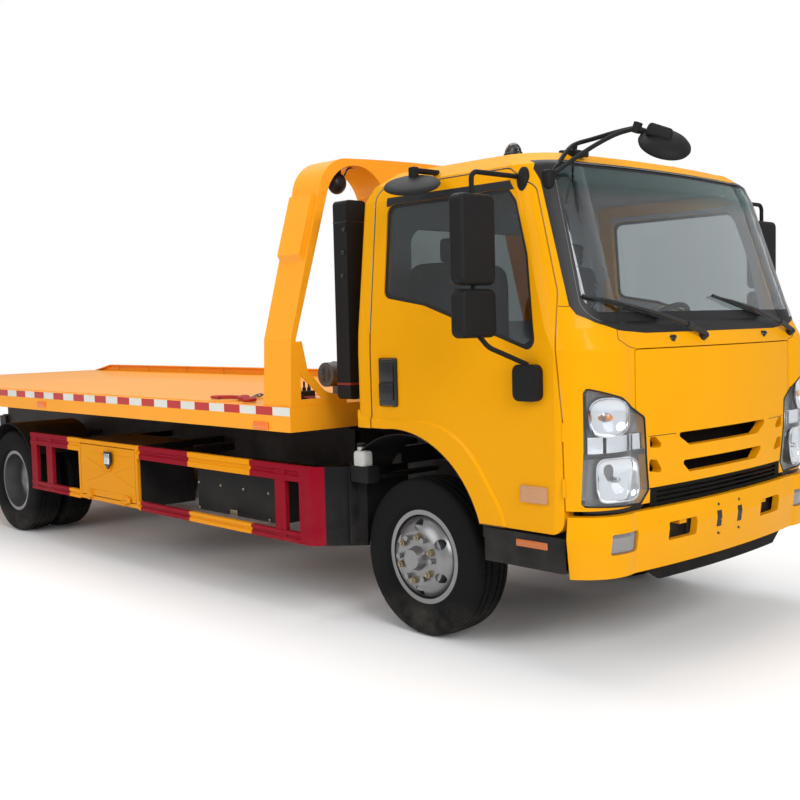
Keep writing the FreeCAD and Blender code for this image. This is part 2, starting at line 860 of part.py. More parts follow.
def tilt_frame():
    """The hinged frame that the deck slides on, with its hinge lugs, rod lugs and slide pads."""
    web = -rail_half_spacing
    inner = web + tilt_rail_width
    rear = hinge_x - hinge_boss_radius * 2
    rail = box(rear, tilt_front, web, inner, tilt_low, tilt_top)
    hollow = box(rear - overrun, tilt_front + overrun, web + tilt_rail_wall, inner - tilt_rail_wall,
                 tilt_low + tilt_rail_wall, tilt_top - tilt_rail_wall)
    rails = [rail.cut(hollow)]
    hinge = V(hinge_x, 0, hinge_z)
    lug_y = web + subframe_width + tilt_rail_wall + move_gap
    lug = side_slab([(hinge_x - hinge_boss_radius, tilt_top), (hinge_x - hinge_boss_radius, hinge_z),
                     (hinge_x + hinge_boss_radius, hinge_z), (hinge_x + hinge_boss_radius * 3, tilt_top)],
                    lug_y, lug_y + hinge_lug)
    lug = lug.fuse(rod(hinge + V(0, lug_y, 0), hinge + V(0, lug_y + hinge_lug, 0), hinge_boss_radius))
    spacer = box(hinge_x - hinge_boss_radius, hinge_x + hinge_boss_radius * 2, inner, lug_y + hinge_lug,
                 tilt_low + tilt_rail_wall, tilt_top)
    lug = lug.fuse(spacer)
    lug = lug.cut(rod(hinge + V(0, web, 0), hinge + V(0, 0, 0), pin_radius + running_gap))
    rails.append(lug)
    length = tilt_front - rear
    for share in pad_shares:
        x = tilt_front - share * (tilt_front - hinge_x)
        rails.append(box(x - subframe_width, x, web, inner, tilt_top, deck_low - seat_gap))
    rod_pin = V(rod_pin_x, 0, rod_pin_z)
    side = [fused(rails)]
    lug_half = cylinder_eye_width / 2 + move_gap
    for offset in (-lug_half - steer_plate, lug_half):
        y = -cylinder_y + offset
        low = cylinder_eye_radius
        plate = side_slab([(rod_pin_x - low, rod_pin_z), (rod_pin_x + low, rod_pin_z),
                           (rod_pin_x + low * 2, tilt_top), (rod_pin_x - low * 2, tilt_top)],
                          y, y + steer_plate)
        tip = rod(rod_pin + V(0, y, 0), rod_pin + V(0, y + steer_plate, 0), low)
        head_y = y - pin_head if offset < 0 else y + steer_plate
        head = rod(rod_pin + V(0, head_y, 0), rod_pin + V(0, head_y + pin_head, 0), pin_radius)
        side.append(plate.fuse([tip, head]))
    crosses = []
    for share in tilt_cross_shares:
        x = tilt_front - share * (length - tilt_rail_width)
        crosses.append(box(x - tilt_rail_width, x, inner, -inner, tilt_low, tilt_top))
    crosses.append(box(rod_pin_x - tilt_rail_width / 2, rod_pin_x + tilt_rail_width / 2, inner, -inner,
                       tilt_low, tilt_top))
    return fused(side + [mirrored(s) for s in side] + crosses)


def cylinder_line():
    base = V(barrel_pin_x, 0, barrel_pin_z)
    tip = V(rod_pin_x, 0, rod_pin_z)
    return base, tip, (tip - base).normalize()


def tilt_barrels():
    base, tip, along = cylinder_line()
    length = (tip - base).Length - cylinder_eye_radius * 2 - move_gap * 2
    side = V(0, -cylinder_y, 0)
    half = V(0, cylinder_eye_width / 2, 0)
    tube = rod(base + side, base + side + along * length, barrel_radius)
    tube = tube.cut(rod(base + side + along * (cylinder_eye_radius * 2),
                        base + side + along * (length + overrun), barrel_bore))
    eye = rod(base + side - half, base + side + half, cylinder_eye_radius + running_gap)
    bore = rod(base + side - half * 3, base + side + half * 3, pin_radius + running_gap)
    return both(fused([tube, eye]).cut(bore))


def tilt_rods():
    """The two rods, each with its pin's middle in the eye, which moves between the frame's lugs."""
    base, tip, along = cylinder_line()
    side = V(0, -cylinder_y, 0)
    half = V(0, cylinder_eye_width / 2, 0)
    shaft = rod(tip + side - along * rod_hidden, tip + side, rod_radius)
    piston = rod(tip + side - along * rod_hidden, tip + side - along * (rod_hidden - barrel_radius),
                 barrel_bore - running_gap)
    eye = rod(tip + side - half, tip + side + half, cylinder_eye_radius)
    return both(fused([shaft, piston, eye]))


def slide_barrel():
    """The long cylinder under the tilt frame that slides the deck."""
    rear = hinge_x - hinge_boss_radius * 2
    front = rear + slide_travel + barrel_radius * 3
    axis = V(0, 0, slide_z)
    tube = pipe(V(rear, 0, slide_z), V(front, 0, slide_z), slide_barrel_radius, slide_barrel_bore)
    cap = rod(V(front, 0, slide_z), V(front + slide_barrel_bore, 0, slide_z), slide_barrel_radius)
    saddles = []
    for x in (rear, front - tilt_rail_width):
        saddles.append(box(x, x + tilt_rail_width, -slide_barrel_radius, slide_barrel_radius, slide_z,
                           tilt_low - seat_gap))
    body = fused([tube, cap] + saddles)
    return body.cut(rod(V(rear - overrun, 0, slide_z), V(front, 0, slide_z), slide_barrel_bore))


def slide_rod():
    rear = hinge_x - hinge_boss_radius * 2
    end = rear - deck_cross_width - move_gap * 2
    shaft = rod(V(end, 0, slide_z), V(rear + slide_travel + barrel_radius, 0, slide_z), slide_rod_radius)
    piston = rod(V(rear + slide_travel, 0, slide_z), V(rear + slide_travel + barrel_radius, 0, slide_z),
                 slide_barrel_bore - running_gap)
    bracket = box(end, end + deck_cross_width - move_gap, -barrel_radius, barrel_radius,
                  slide_z - slide_rod_radius, deck_low - seat_gap)
    return fused([shaft, piston, bracket])


# Deck
def deck():
    """Floor plate, side plates, cross members and runners, with the front plate open over the tilt frame."""
    outline = [(deck_front, deck_height), (deck_crest, deck_height), (deck_tail, deck_height - tail_drop),
               (deck_tail, deck_height - tail_drop - tail_lip), (deck_crest, deck_height - deck_side_depth),
               (deck_front, deck_height - deck_side_depth)]
    whole = side_slab(outline, -deck_half_width, deck_half_width)
    low = deck_height - deck_side_depth - overrun
    room = [(deck_front - deck_plate, deck_height - deck_plate), (deck_crest, deck_height - deck_plate),
            (deck_tail + tail_lip, deck_height - tail_drop - deck_plate), (deck_tail + tail_lip, low),
            (deck_front - deck_plate, low)]
    whole = whole.cut(side_slab(room, -deck_half_width + deck_plate, deck_half_width - deck_plate))
    pass_half = rail_half_spacing + move_gap
    whole = whole.cut(box(deck_front - overrun, deck_front + overrun, -pass_half, pass_half, low, deck_low))
    sheet_half = deck_half_width - floor_sheet_margin
    sheet = box(deck_crest, floor_sheet_front, -sheet_half, sheet_half, deck_height, deck_height + floor_sheet)
    top = deck_height - deck_plate
    inside = deck_half_width - deck_plate
    parts = [whole, sheet]
    span = deck_front - deck_crest - deck_cross_width * 2
    for i in range(deck_crosses):
        x = deck_front - deck_cross_width - span * i / (deck_crosses - 1)
        parts.append(box(x - deck_cross_width, x, -inside, inside, deck_low, top))
    parts.append(box(slide_bracket_x, slide_bracket_x + deck_cross_width, -inside, inside, deck_low, top))
    for side in (-1, 1):
        y0 = side * rail_half_spacing
        y1 = side * (rail_half_spacing - deck_runner_width)
        parts.append(box(deck_crest, deck_front - deck_plate, min(y0, y1), max(y0, y1), deck_low, top))
    return fused(parts)


def deck_curb():
    """The low raised edge along the left side only, sloping away at the rear."""
    top = deck_height + curb_height
    outer = deck_half_width
    outline = [(curb_front, deck_height), (curb_rear, deck_height), (curb_rear + curb_slope, top),
               (curb_front, top)]
    curb = side_slab(outline, outer - curb_width, outer)
    under = deck_height - overrun
    roof = top - deck_plate
    room = [(curb_front + overrun, under), (curb_rear - overrun, under), (curb_rear + curb_slope, roof),
            (curb_front + overrun, roof)]
    hollow = side_slab(room, outer - curb_width - overrun, outer - deck_plate)
    return curb.cut(hollow)


def arch_ribbon():
    """The arch's main plate as one bent outline: legs, round shoulders and a deeper middle."""
    def p(y, z):
        return V(arch_front - arch_depth, -y, z)

    beam_level = arch_top - arch_beam_sag
    outer = [p(arch_foot_outer, deck_height), p(arch_foot_outer - arch_foot_lean, arch_knee),
             p(arch_shoulder_outer, arch_spring), p(arch_beam_end, beam_level)]
    inner = [p(arch_foot_inner, deck_height), p(arch_foot_inner, arch_knee), p(arch_eye_outer, arch_eye_low),
             p(arch_web_half, arch_eye_low)]
    shoulder = p(arch_shoulder_mid_y, arch_shoulder_mid_z)
    eye = p(arch_eye_y, arch_eye_high)
    legs = []
    for side in (1, -1):
        o = [V(v.x, v.y * side, v.z) for v in outer]
        i = [V(v.x, v.y * side, v.z) for v in inner]
        legs.append([Part.makeLine(i[0], o[0]), Part.makeLine(o[0], o[1]), Part.makeLine(o[1], o[2]),
                     Part.Arc(o[2], V(o[2].x, shoulder.y * side, shoulder.z), o[3]).toShape(),
                     Part.makeLine(i[0], i[1]), Part.makeLine(i[1], i[2]),
                     Part.Arc(i[2], V(i[2].x, eye.y * side, eye.z), i[3]).toShape()])
    beam = Part.Arc(p(arch_beam_end, beam_level), p(0, arch_top), p(-arch_beam_end, beam_level)).toShape()
    web = Part.Arc(p(arch_web_half, arch_eye_low), p(0, arch_web_low), p(-arch_web_half, arch_eye_low)).toShape()
    loop = Part.Wire(Part.__sortEdges__(legs[0] + [beam] + legs[1] + [web]))
    return slab(loop, V(arch_depth, 0, 0))


def arch():
    """Welded arch over the front of the deck, with a box on each leg and a cut gusset at each foot."""
    x1 = arch_front
    x0 = arch_front - arch_depth
    lean = (arch_foot_outer - arch_shoulder_outer) / (arch_spring - arch_knee)

    def leg_y(z):
        return arch_knee * lean + arch_foot_outer - arch_foot_lean - z * lean

    low = arch_ear_low + ear_proud
    ear = front_slab([(-leg_y(arch_ear_low), arch_ear_low), (-leg_y(low) - ear_proud, low),
                      (-leg_y(arch_ear_top) - ear_proud, arch_ear_top),
                      (-leg_y(arch_ear_top) + ear_proud / 2, arch_ear_top)],
                     x0 + ear_proud / 2, x1 - ear_proud / 2)
    foot = -arch_foot_inner
    head = arch_knee - gusset_wall
    bend = gusset_reach * gusset_curve_share
    gusset = front_slab([(foot, head), (foot + gusset_top, head), (foot + gusset_waist, deck_height + bend),
                         (foot + bend, deck_height + gusset_waist),
                         (foot + gusset_reach, deck_height + gusset_top / 2),
                         (foot + gusset_reach, deck_height), (foot, deck_height)], x1 - gusset_wall, x1)
    hole = gusset_reach * gusset_window_share
    side = foot + gusset_wall * 2
    sill = deck_height + gusset_wall * 3
    window = front_slab([(side, sill), (side, deck_height + hole), (foot + hole, sill)],
                        x1 - gusset_wall - overrun, x1 + overrun)
    sides = []
    for piece in (ear, gusset.cut(window)):
        sides += [piece, mirrored(piece)]
    return fused([arch_ribbon()] + sides)


def winch():
    """Drum with its rope wrapped on, two side plates and the motor."""
    z = deck_height + winch_flange_radius + winch_wall
    half = winch_half_width
    x0 = winch_x - winch_flange_radius
    x1 = winch_x + winch_flange_radius
    foot = deck_height + seat_gap
    pieces = [rod(V(winch_x, -half, z), V(winch_x, half, z), winch_radius)]
    for side in (-1, 1):
        y0 = side * half
        y1 = side * (half + winch_wall)
        pieces.append(box(x0, x1, min(y0, y1), max(y0, y1), foot, z + winch_radius))
    pieces.append(box(x0, x1, -half - winch_wall, half + winch_wall, foot, foot + winch_wall))
    motor_end = -half - winch_wall - winch_motor_length
    pieces.append(rod(V(winch_x, -half, z), V(winch_x, motor_end, z), winch_radius))
    return fused(pieces)


# Side guards and toolboxes
def guard_rail(x0, x1, low, high):
    """A pressed rail with a groove along its outer face."""
    face = -guard_face
    back = face + guard_depth
    middle = (low + high) / 2
    step = (high - low) / 6
    outline = [(face, low), (face, middle - step), (face + guard_groove, middle - step / 2),
               (face + guard_groove, middle + step / 2), (face, middle + step), (face, high), (back, high),
               (back, low)]
    return front_slab(outline, x0, x1)


def side_guard():
    """Right guard: two rails, posts, a plate turned in at the front, and arms to the chassis."""
    face = -guard_face
    back = face + guard_depth
    pieces = []
    for low, high in ((guard_top_low, guard_top_high), (guard_foot_low, guard_foot_high)):
        pieces.append(guard_rail(toolbox_front + seat_gap, guard_front, low, high))
        pieces.append(guard_rail(guard_rear, toolbox_rear - seat_gap, low, high))
    for x in guard_posts:
        pieces.append(box(x, x + guard_post_width, face + guard_wall, back, guard_foot_low, guard_top_high))
    pieces.append(box(guard_front - guard_post_width, guard_front, face, back, guard_foot_low, guard_top_high))
    end = guard_front + guard_turn
    inward = face + guard_turn
    turn = [V(guard_front, face, guard_foot_low), V(end, inward, guard_foot_low),
            V(end, inward + guard_wall * 3, guard_foot_low), V(guard_front, face + guard_wall * 3, guard_foot_low)]
    pieces.append(slab(wire(turn), V(0, 0, guard_top_high - guard_foot_low)))
    high = guard_top_low + guard_arm
    for x in guard_arm_places:
        pieces.append(box(x, x + guard_arm, back, -rail_half_spacing, guard_top_low, high))
    return fused(pieces)


def toolbox():
    """A hollow steel box open to the side, hung from two straps on the chassis rail."""
    face = -guard_face
    back = face + toolbox_depth
    outside = box(toolbox_rear, toolbox_front, face, back, toolbox_low, toolbox_high)
    inside = box(toolbox_rear + toolbox_wall, toolbox_front - toolbox_wall, face - overrun,
                 back - toolbox_wall, toolbox_low + toolbox_wall, toolbox_high - toolbox_wall)
    lip = box(toolbox_rear, toolbox_front, face, face + toolbox_wall, toolbox_low, toolbox_high)
    mouth = box(toolbox_rear + toolbox_door_margin, toolbox_front - toolbox_door_margin, face - overrun,
                face + toolbox_door_wall + move_gap, toolbox_low + toolbox_door_margin,
                toolbox_high - toolbox_door_margin)
    shell = outside.cut(inside).fuse(lip).cut(mouth)
    arms = [box(x, x + guard_arm, back, -rail_half_spacing - seat_gap, toolbox_high - guard_arm, toolbox_high)
            for x in (toolbox_rear + guard_arm, toolbox_front - guard_arm * 2)]
    hinge_z = toolbox_low + toolbox_door_margin
    hinge_y = face - toolbox_hinge_radius
    barrels = []
    for share in toolbox_hinge_shares:
        x = toolbox_rear + share * (toolbox_front - toolbox_rear)
        barrels.append(rod(V(x - guard_arm, hinge_y, hinge_z), V(x, hinge_y, hinge_z), toolbox_hinge_radius))
        barrels.append(box(x - guard_arm, x, hinge_y, face, toolbox_low, hinge_z))
    return fused([shell] + arms + barrels)


def toolbox_door():
    """The flap in the toolbox's mouth, hinged along its lower edge."""
    face = -guard_face
    gap = toolbox_door_margin + move_gap
    x0 = toolbox_rear + gap
    x1 = toolbox_front - gap
    z0 = toolbox_low + gap
    z1 = toolbox_high - gap
    panel = box(x0, x1, face, face + toolbox_door_wall, z0, z1)
    latch_x = (x0 + x1) / 2 + guard_arm / 2
    latch = box(latch_x - guard_arm, latch_x + guard_arm, face - handle_proud, face, z1 - guard_arm * 4,
                z1 - guard_arm)
    barrels = []
    hinge_z = toolbox_low + toolbox_door_margin
    hinge_y = face - toolbox_hinge_radius
    for share in toolbox_hinge_shares:
        x = toolbox_rear + share * (toolbox_front - toolbox_rear)
        start = V(x + running_gap, hinge_y, hinge_z)
        barrels.append(rod(start, V(x + guard_arm, hinge_y, hinge_z), toolbox_hinge_radius))
        barrels.append(box(x + running_gap, x + guard_arm, hinge_y, face, hinge_z, z0 + guard_arm))
    return fused([panel, latch] + barrels)


# Tanks, boxes and the drive
def fuel_tank():
    """Left-hand fuel tank with rounded edges, on two straps from the rail."""
    outline = [(fuel_inner_y, fuel_low), (fuel_outer_y, fuel_low), (fuel_outer_y, fuel_high),
               (fuel_inner_y, fuel_high)]
    tank = front_slab(outline, fuel_front - fuel_length, fuel_front, fuel_corner)
    straps = []
    for share in strap_shares:
        x = fuel_front - fuel_length * share
        straps.append(box(x, x + guard_arm, rail_half_spacing + seat_gap, fuel_inner_y + guard_arm,
                          fuel_high - fuel_corner * 2, fuel_high - fuel_corner))
    return fused([tank] + straps)


def battery_box():
    """Right-hand battery box on two arms from the rail."""
    outline = [(-battery_outer_y, battery_low), (-battery_inner_y, battery_low),
               (-battery_inner_y, battery_high), (-battery_outer_y, battery_high)]
    case = front_slab(outline, battery_front - battery_length, battery_front, guard_wall * 4)
    arms = []
    for share in strap_shares:
        x = battery_front - battery_length * share
        arms.append(box(x, x + guard_arm, -battery_inner_y, -rail_half_spacing - seat_gap,
                        battery_high - guard_arm * 2, battery_high - guard_arm))
    return fused([case] + arms)


def silencer():
    """The exhaust silencer under the right rail, with its two hangers."""
    start = V(silencer_x, -silencer_y, silencer_z)
    drum = rod(start, start - V(silencer_length, 0, 0), silencer_radius)
    hangers = []
    for share in hanger_shares:
        x = silencer_x - silencer_length * share
        hangers.append(box(x - guard_arm, x, -silencer_y, -rail_half_spacing - seat_gap,
                           silencer_z + silencer_radius * hanger_drop_share,
                           silencer_z + silencer_radius + guard_arm + rail_wall * 2))
    return fused([drum] + hangers)


def engine():
    """The engine as one plain block between the rails, on two mounts."""
    rear = engine_front - engine_length
    block = box(rear, engine_front, -engine_half_width, engine_half_width, engine_low, engine_high)
    middle = engine_front - engine_length / 2
    mounts = []
    for side in (-1, 1):
        y0 = side * engine_half_width
        y1 = side * (rail_half_spacing - rail_flange - seat_gap)
        mounts.append(box(middle - guard_arm, middle + guard_arm, min(y0, y1), max(y0, y1),
                          rail_top - rail_wall - guard_arm, rail_top - seat_gap))
    return fused([block] + mounts)


def drive_line():
    """Gearbox behind the engine and the shaft down to the rear axle."""
    rear = engine_front - engine_length
    start = V(rear - seat_gap, 0, rail_low + rail_wall * 4)
    end = start - V(gearbox_length, 0, 0)
    case = Part.makeCone(gearbox_radius, gearbox_radius * gearbox_taper_share, gearbox_length, start, V(-1, 0, 0))
    shaft = rod(end, V(-wheelbase + banjo_radius + seat_gap, 0, tyre_radius), shaft_radius)
    axle = V(-wheelbase, 0, tyre_radius)
    half = V(0, banjo_radius, 0)
    return fused([case, shaft]).cut(rod(axle - half, axle + half, banjo_radius + seat_gap))


# Cab
def cab_section(level, front, rear, half, inset):
    """One level outline of the cab: flat sides, round rear corners and a bowed front."""
    x1 = front - inset
    x0 = rear + inset
    y = half - inset
    shoulder = y * cab_shoulder_share
    corner = cab_rear_corner
    bend = corner * (1 - sqrt(0.5))
    side_x = x1 - cab_corner_depth
    mid_x = x1 - cab_corner_mid_x
    mid_y = y - cab_corner_mid_y

    def p(x, v):
        return V(x, v, level)

    edges = [Part.makeLine(p(x0, y - corner), p(x0, corner - y)),
             Part.Arc(p(x0, corner - y), p(x0 + bend, bend - y), p(x0 + corner, -y)).toShape(),
             Part.makeLine(p(x0 + corner, -y), p(side_x, -y)),
             Part.Arc(p(side_x, -y), p(mid_x, -mid_y), p(x1 - cab_bow, -shoulder)).toShape(),
             Part.Arc(p(x1 - cab_bow, -shoulder), p(x1, 0), p(x1 - cab_bow, shoulder)).toShape(),
             Part.Arc(p(x1 - cab_bow, shoulder), p(mid_x, mid_y), p(side_x, y)).toShape(),
             Part.makeLine(p(side_x, y), p(x0 + corner, y)),
             Part.Arc(p(x0 + corner, y), p(x0 + bend, y - bend), p(x0, y - corner)).toShape()]
    return Part.Wire(edges)


def cab_form(inset, foot):
    """The cab's solid form, drawn in by an inset and reaching a foot below its sill."""
    wires = []
    last = len(cab_level_heights) - 1
    for i, level in enumerate(cab_level_heights):
        z = level - inset * cab_level_inset_share[i]
        if i == 0:
            z = level - foot
        wires.append(cab_section(z, cab_front - cab_front_setback[i], cab_rear + cab_rear_setback[i],
                                 cab_half_width - cab_side_setback[i], inset))
    return Part.makeLoft(wires, True, True)


def flare_outline(y, grow):
    """The wheel flare's outline on a side plane: level at the rear, then round the wheel to the sill."""
    ridge = []
    for x, z in flare_ridge:
        away = V(x - arch_centre_x, 0, z - arch_centre_z).normalize()
        ridge.append(V(x, y, z) + away * grow)
    level = V(cab_rear - overrun, y, ridge[0].z)
    curve = Part.BSplineCurve()
    curve.interpolate(Points=ridge, InitialTangent=V(1, 0, 0), FinalTangent=V(1, 0, -2))
    middle = V(arch_centre_x, y, arch_centre_z)
    under = V(cab_rear - overrun, y, arch_centre_z)
    return Part.Wire([Part.makeLine(level, ridge[0]), curve.toShape(), Part.makeLine(ridge[-1], middle),
                      Part.makeLine(middle, under), Part.makeLine(under, level)])


def wheel_flare():
    """The raised band round the right front wheel, with a sloping outer edge."""
    rise = flare_slope / flare_proud
    inside = flare_outline(overrun - cab_half_width, overrun * rise)
    outside = flare_outline(-cab_half_width - overrun, -overrun * rise)
    band = Part.makeLoft([inside, outside], True, True)
    return band.common(cab_form(-flare_proud, 0))


def arch_cutter(radius, half):
    centre = V(arch_centre_x, 0, arch_centre_z)
    return rod(centre - V(0, half, 0), centre + V(0, half, 0), radius)


def side_cut(points, radius, grow, y0, y1):
    """A cutter from an (x, z) outline, grown by a gap, between two y."""
    outline = rounded_wire([V(x, y0, z) for x, z in points], radius)
    if grow:
        outline = outline.makeOffset2D(grow)
    return slab(outline, V(0, y1 - y0, 0))


def front_cut(points, radius, grow, x0, x1):
    """A cutter from a (y, z) outline, grown by a gap, between two x."""
    outline = rounded_wire([V(x0, y, z) for y, z in points], radius)
    if grow:
        outline = outline.makeOffset2D(grow)
    return slab(outline, V(x1 - x0, 0, 0))


def screen_points():
    return [(-screen_half_low, screen_low), (-screen_half_high, screen_high),
            (screen_half_high, screen_high), (screen_half_low, screen_low)]


def rear_window_points():
    return [(-rear_window_half, rear_window_low), (-rear_window_half, rear_window_high),
            (rear_window_half, rear_window_high), (rear_window_half, rear_window_low)]


def panel_points():
    return [(-panel_half_width, panel_low), (-panel_half_width, panel_high), (panel_half_width, panel_high),
            (panel_half_width, panel_low)]


cab_reach = cab_half_width + overrun
mid_cab = cab_front - cab_corner_depth


def lamp_cut(grow):
    """The right headlamp's place at the cab's front corner."""
    return front_cut(lamp_points, slot_corner, grow, lamp_rear - grow, cab_front + overrun)


def hinge_barrels(lower, radius):
    """Half of each door hinge: the lower half is the cab's, the upper one the door's."""
    barrels = []
    for level in door_hinge_levels:
        z0 = level if lower else level + door_hinge_height + running_gap
        spot = V(door_hinge_x, -door_hinge_y, z0)
        barrels.append(rod(spot, spot + V(0, 0, door_hinge_height), radius))
    return barrels


def door_cut(grow):
    """Everything behind the door's outline on the right, less the wheel's arch."""
    cut = side_cut(door_points, door_corner, grow, -cab_reach, -cab_half_width / 2)
    return cut.cut(arch_cutter(arch_lip_radius - grow, cab_reach))


def cab_skin():
    """The cab's wall all round with its wheel flares, open below and cut away over the wheels."""
    flare = wheel_flare()
    skin = cab_form(0, 0).fuse([flare, mirrored(flare)]).cut(cab_form(cab_wall, overrun))
    behind = box(cab_rear - overrun, arch_centre_x, -cab_reach, cab_reach, 0, cab_floor)
    return skin.cut([arch_cutter(arch_lip_radius, cab_reach), behind])


def floor_plate():
    """The cab's floor, clear of the doors' inner faces and of their front edges as they swing."""
    slice_box = box(cab_rear, cab_front, -cab_half_width, cab_half_width, cab_floor, cab_floor + cab_floor_wall)
    plate = cab_form(cab_wall, overrun).common(slice_box)
    margin = door_cut(door_gap).cut(cab_form(cab_wall + move_gap, overrun))
    hinge = V(door_hinge_x, -door_hinge_y, 0)
    sweep = rod(hinge, hinge + V(0, 0, roof_height), door_sweep)
    cuts = [lamp_cut(lamp_gap), margin, sweep]
    return plate.cut(cuts + [mirrored(c) for c in cuts])


def cab_shell(skin):
    """Roof, pillars, rear wall and floor, with every opening cut."""
    x0 = mid_cab - cab_corner_depth
    nose = cab_front + overrun
    grille_half = lower_grille_half + seat_gap
    cuts = [door_cut(door_gap), mirrored(door_cut(door_gap)),
            front_cut(screen_points(), screen_corner, 0, x0, cab_front),
            front_cut(rear_window_points(), screen_corner, 0, cab_rear - overrun, cab_rear + cab_corner_depth),
            front_cut(panel_points(), slot_corner, panel_gap, mid_cab, nose),
            lamp_cut(lamp_gap), mirrored(lamp_cut(lamp_gap)),
            box(door_front - door_corner, nose, -cab_reach, cab_reach, 0, corner_low),
            box(mid_cab, nose, -grille_half, grille_half, 0, panel_low)]
    shell = skin.cut(cuts)
    barrels = hinge_barrels(True, door_hinge_radius)
    pockets = hinge_barrels(False, door_hinge_radius + running_gap * 4)
    shell = shell.cut(pockets + [mirrored(p) for p in pockets])
    return fused([shell, floor_plate()] + barrels + [mirrored(b) for b in barrels])


def front_panel(skin):
    """The pressed panel below the windscreen with its four grille slots."""
    nose = cab_front + overrun
    panel = skin.common(front_cut(panel_points(), slot_corner, 0, mid_cab, nose))
    half = panel_half_width - panel_flange * 2
    foot = panel_high - panel_flange
    high = box(mid_cab, cab_front, -half, half, foot, panel_high + panel_flange)
    low = box(mid_cab, cab_front, -half, half, foot, panel_high - panel_flange / 2)
    back = cab_form(cab_wall + slot_corner, overrun)
    flange = cab_form(cab_wall + seat_gap, overrun).cut(back).common(high)
    web = cab_form(cab_wall / 2, overrun).cut(back).common(low)
    panel = fused([panel, flange, web]).cut([lamp_cut(lamp_gap), mirrored(lamp_cut(lamp_gap))])
    slots = []
    for slot in grille_slots:
        cut = front_cut(slot, slot_corner, 0, mid_cab, nose)
        slots.append(cut)
        if slot in outer_slots:
            slots.append(mirrored(cut))
    return panel.cut(slots)


def valance():
    """The black strip hung under the bumper, bowed like it and drawn in at both ends."""
    level = bumper_low - seat_gap
    front = bumper_front - bumper_tuck
    half = cab_half_width - bumper_tuck
    down = V(0, 0, valance_low - level)
    outer = slab(cab_section(level, front, cab_rear, half, bumper_wall / 2), down)
    inner = slab(cab_section(level, front, cab_rear, half, bumper_wall / 2 + valance_wall), down)
    shape = front_slab([(-valance_head, level), (-valance_foot, valance_low), (valance_foot, valance_low),
                        (valance_head, level)], mid_cab, bumper_front)
    return outer.cut(inner).common(shape)


def lower_grille():
    """The black strip between panel and bumper, with bars across it, and the valance below."""
    half = lower_grille_half
    nose = cab_front + overrun
    room = box(mid_cab, nose, -half, half, lower_grille_low, panel_low - seat_gap)
    strip = cab_form(0, 0).cut(cab_form(cab_wall / 2, overrun)).common(room)
    pitch = (panel_low - lower_grille_low) / (lower_grille_bars + 1)
    slot_half = half * grille_slot_share
    rise = pitch * (1 - grille_bar_share) / 2
    slots = []
    for i in range(lower_grille_bars):
        z = lower_grille_low + pitch * (i + 1)
        slots.append(box(mid_cab, nose, -slot_half, slot_half, z - rise, z + rise))
    return Part.makeCompound([strip.cut(slots), valance()])


def headlamps():
    """A lens and housing on each side, filling the cab's front corners."""
    lamp = cab_form(0, 0).cut(cab_form(lamp_depth, overrun))
    return both(lamp.common(lamp_cut(lamp_gap - seat_gap)))


def glass(cutter):
    """A pane that follows the cab's outside within an opening."""
    return cab_form(glass_set, 0).cut(cab_form(glass_set + glass_wall, overrun)).common(cutter)


def windscreen():
    return glass(front_cut(screen_points(), screen_corner, -glass_gap, mid_cab - cab_corner_depth, cab_front))


def rear_window():
    return glass(front_cut(rear_window_points(), screen_corner, -glass_gap, cab_rear - overrun,
                           cab_rear + cab_corner_depth))


def door_window_cut(grow):
    return side_cut(door_window, window_corner, grow, -cab_reach, -cab_half_width / 2)


def door(skin):
    """The right door: the cab's whole wall inside the door gap, with its window and handle."""
    panel = skin.common(door_cut(0)).cut(door_window_cut(0))
    face = -cab_half_width
    handle_x0 = door_handle_front - door_handle_width
    handle = side_slab([(handle_x0, door_handle_low), (door_handle_front, door_handle_low),
                        (door_handle_front, door_handle_low + door_handle_height),
                        (handle_x0, door_handle_low + door_handle_height)],
                       face - handle_proud, face + cab_wall / 2, handle_proud * 2)
    panel = panel.cut(hinge_barrels(True, door_hinge_radius + running_gap * 4))
    return panel.fuse([handle] + hinge_barrels(False, door_hinge_radius))


def door_glass():
    return glass(door_window_cut(-glass_gap))


def mirror_head(low, high):
    """One mirror's housing: a rounded block with soft edges all round."""
    corners = [(-mirror_outer_y, low), (-mirror_outer_y, high), (-mirror_inner_y, high), (-mirror_inner_y, low)]
    half = mirror_depth / 2
    head = front_slab(corners, mirror_x - half, mirror_x + half, mirror_corner)
    rims = [edge for edge in head.Edges if edge.BoundBox.XLength < running_gap]
    return head.makeFillet(mirror_soft, rims)


def door_mirrors():
    """Main and wide-angle mirror on one bent tube, with the foot on the door."""
    heads = [mirror_head(mirror_low, mirror_high), mirror_head(wide_low, wide_high)]
    y = -(mirror_inner_y + mirror_outer_y) / 2
    foot_y = -cab_half_width - mirror_foot_depth
    foot_top = mirror_foot_z + mirror_foot_height / 2
    tube = bent_tube([V(mirror_foot_x, foot_y + mirror_foot_depth / 2, foot_top),
                      V(mirror_x + mirror_depth, y, mirror_foot_z + mirror_foot_height),
                      V(mirror_x, y, wide_low + mirror_corner)], mirror_tube, mirror_corner)
    stem = rod(V(mirror_x, y, wide_high - mirror_corner), V(mirror_x, y, mirror_low + mirror_corner), mirror_tube)
    high = bent_tube([V(mirror_x, y, mirror_high - mirror_corner), V(mirror_x, y, mirror_arm_high),
                      V(mirror_x, -cab_half_width + cab_side_setback[-3] + mirror_tube, mirror_arm_high)],
                     mirror_tube, mirror_corner)
    x0 = mirror_foot_x - mirror_foot_width / 2
    z0 = mirror_foot_z - mirror_foot_height / 2
    x1 = x0 + mirror_foot_width
    z1 = z0 + mirror_foot_height
    foot = side_slab([(x0, z0), (x1, z0), (x1, z1), (x0, z1)], foot_y, -cab_half_width - seat_gap,
                     mirror_corner)
    return fused(heads + [tube, stem, high, foot]).cut(cab_form(-seat_gap, 0))


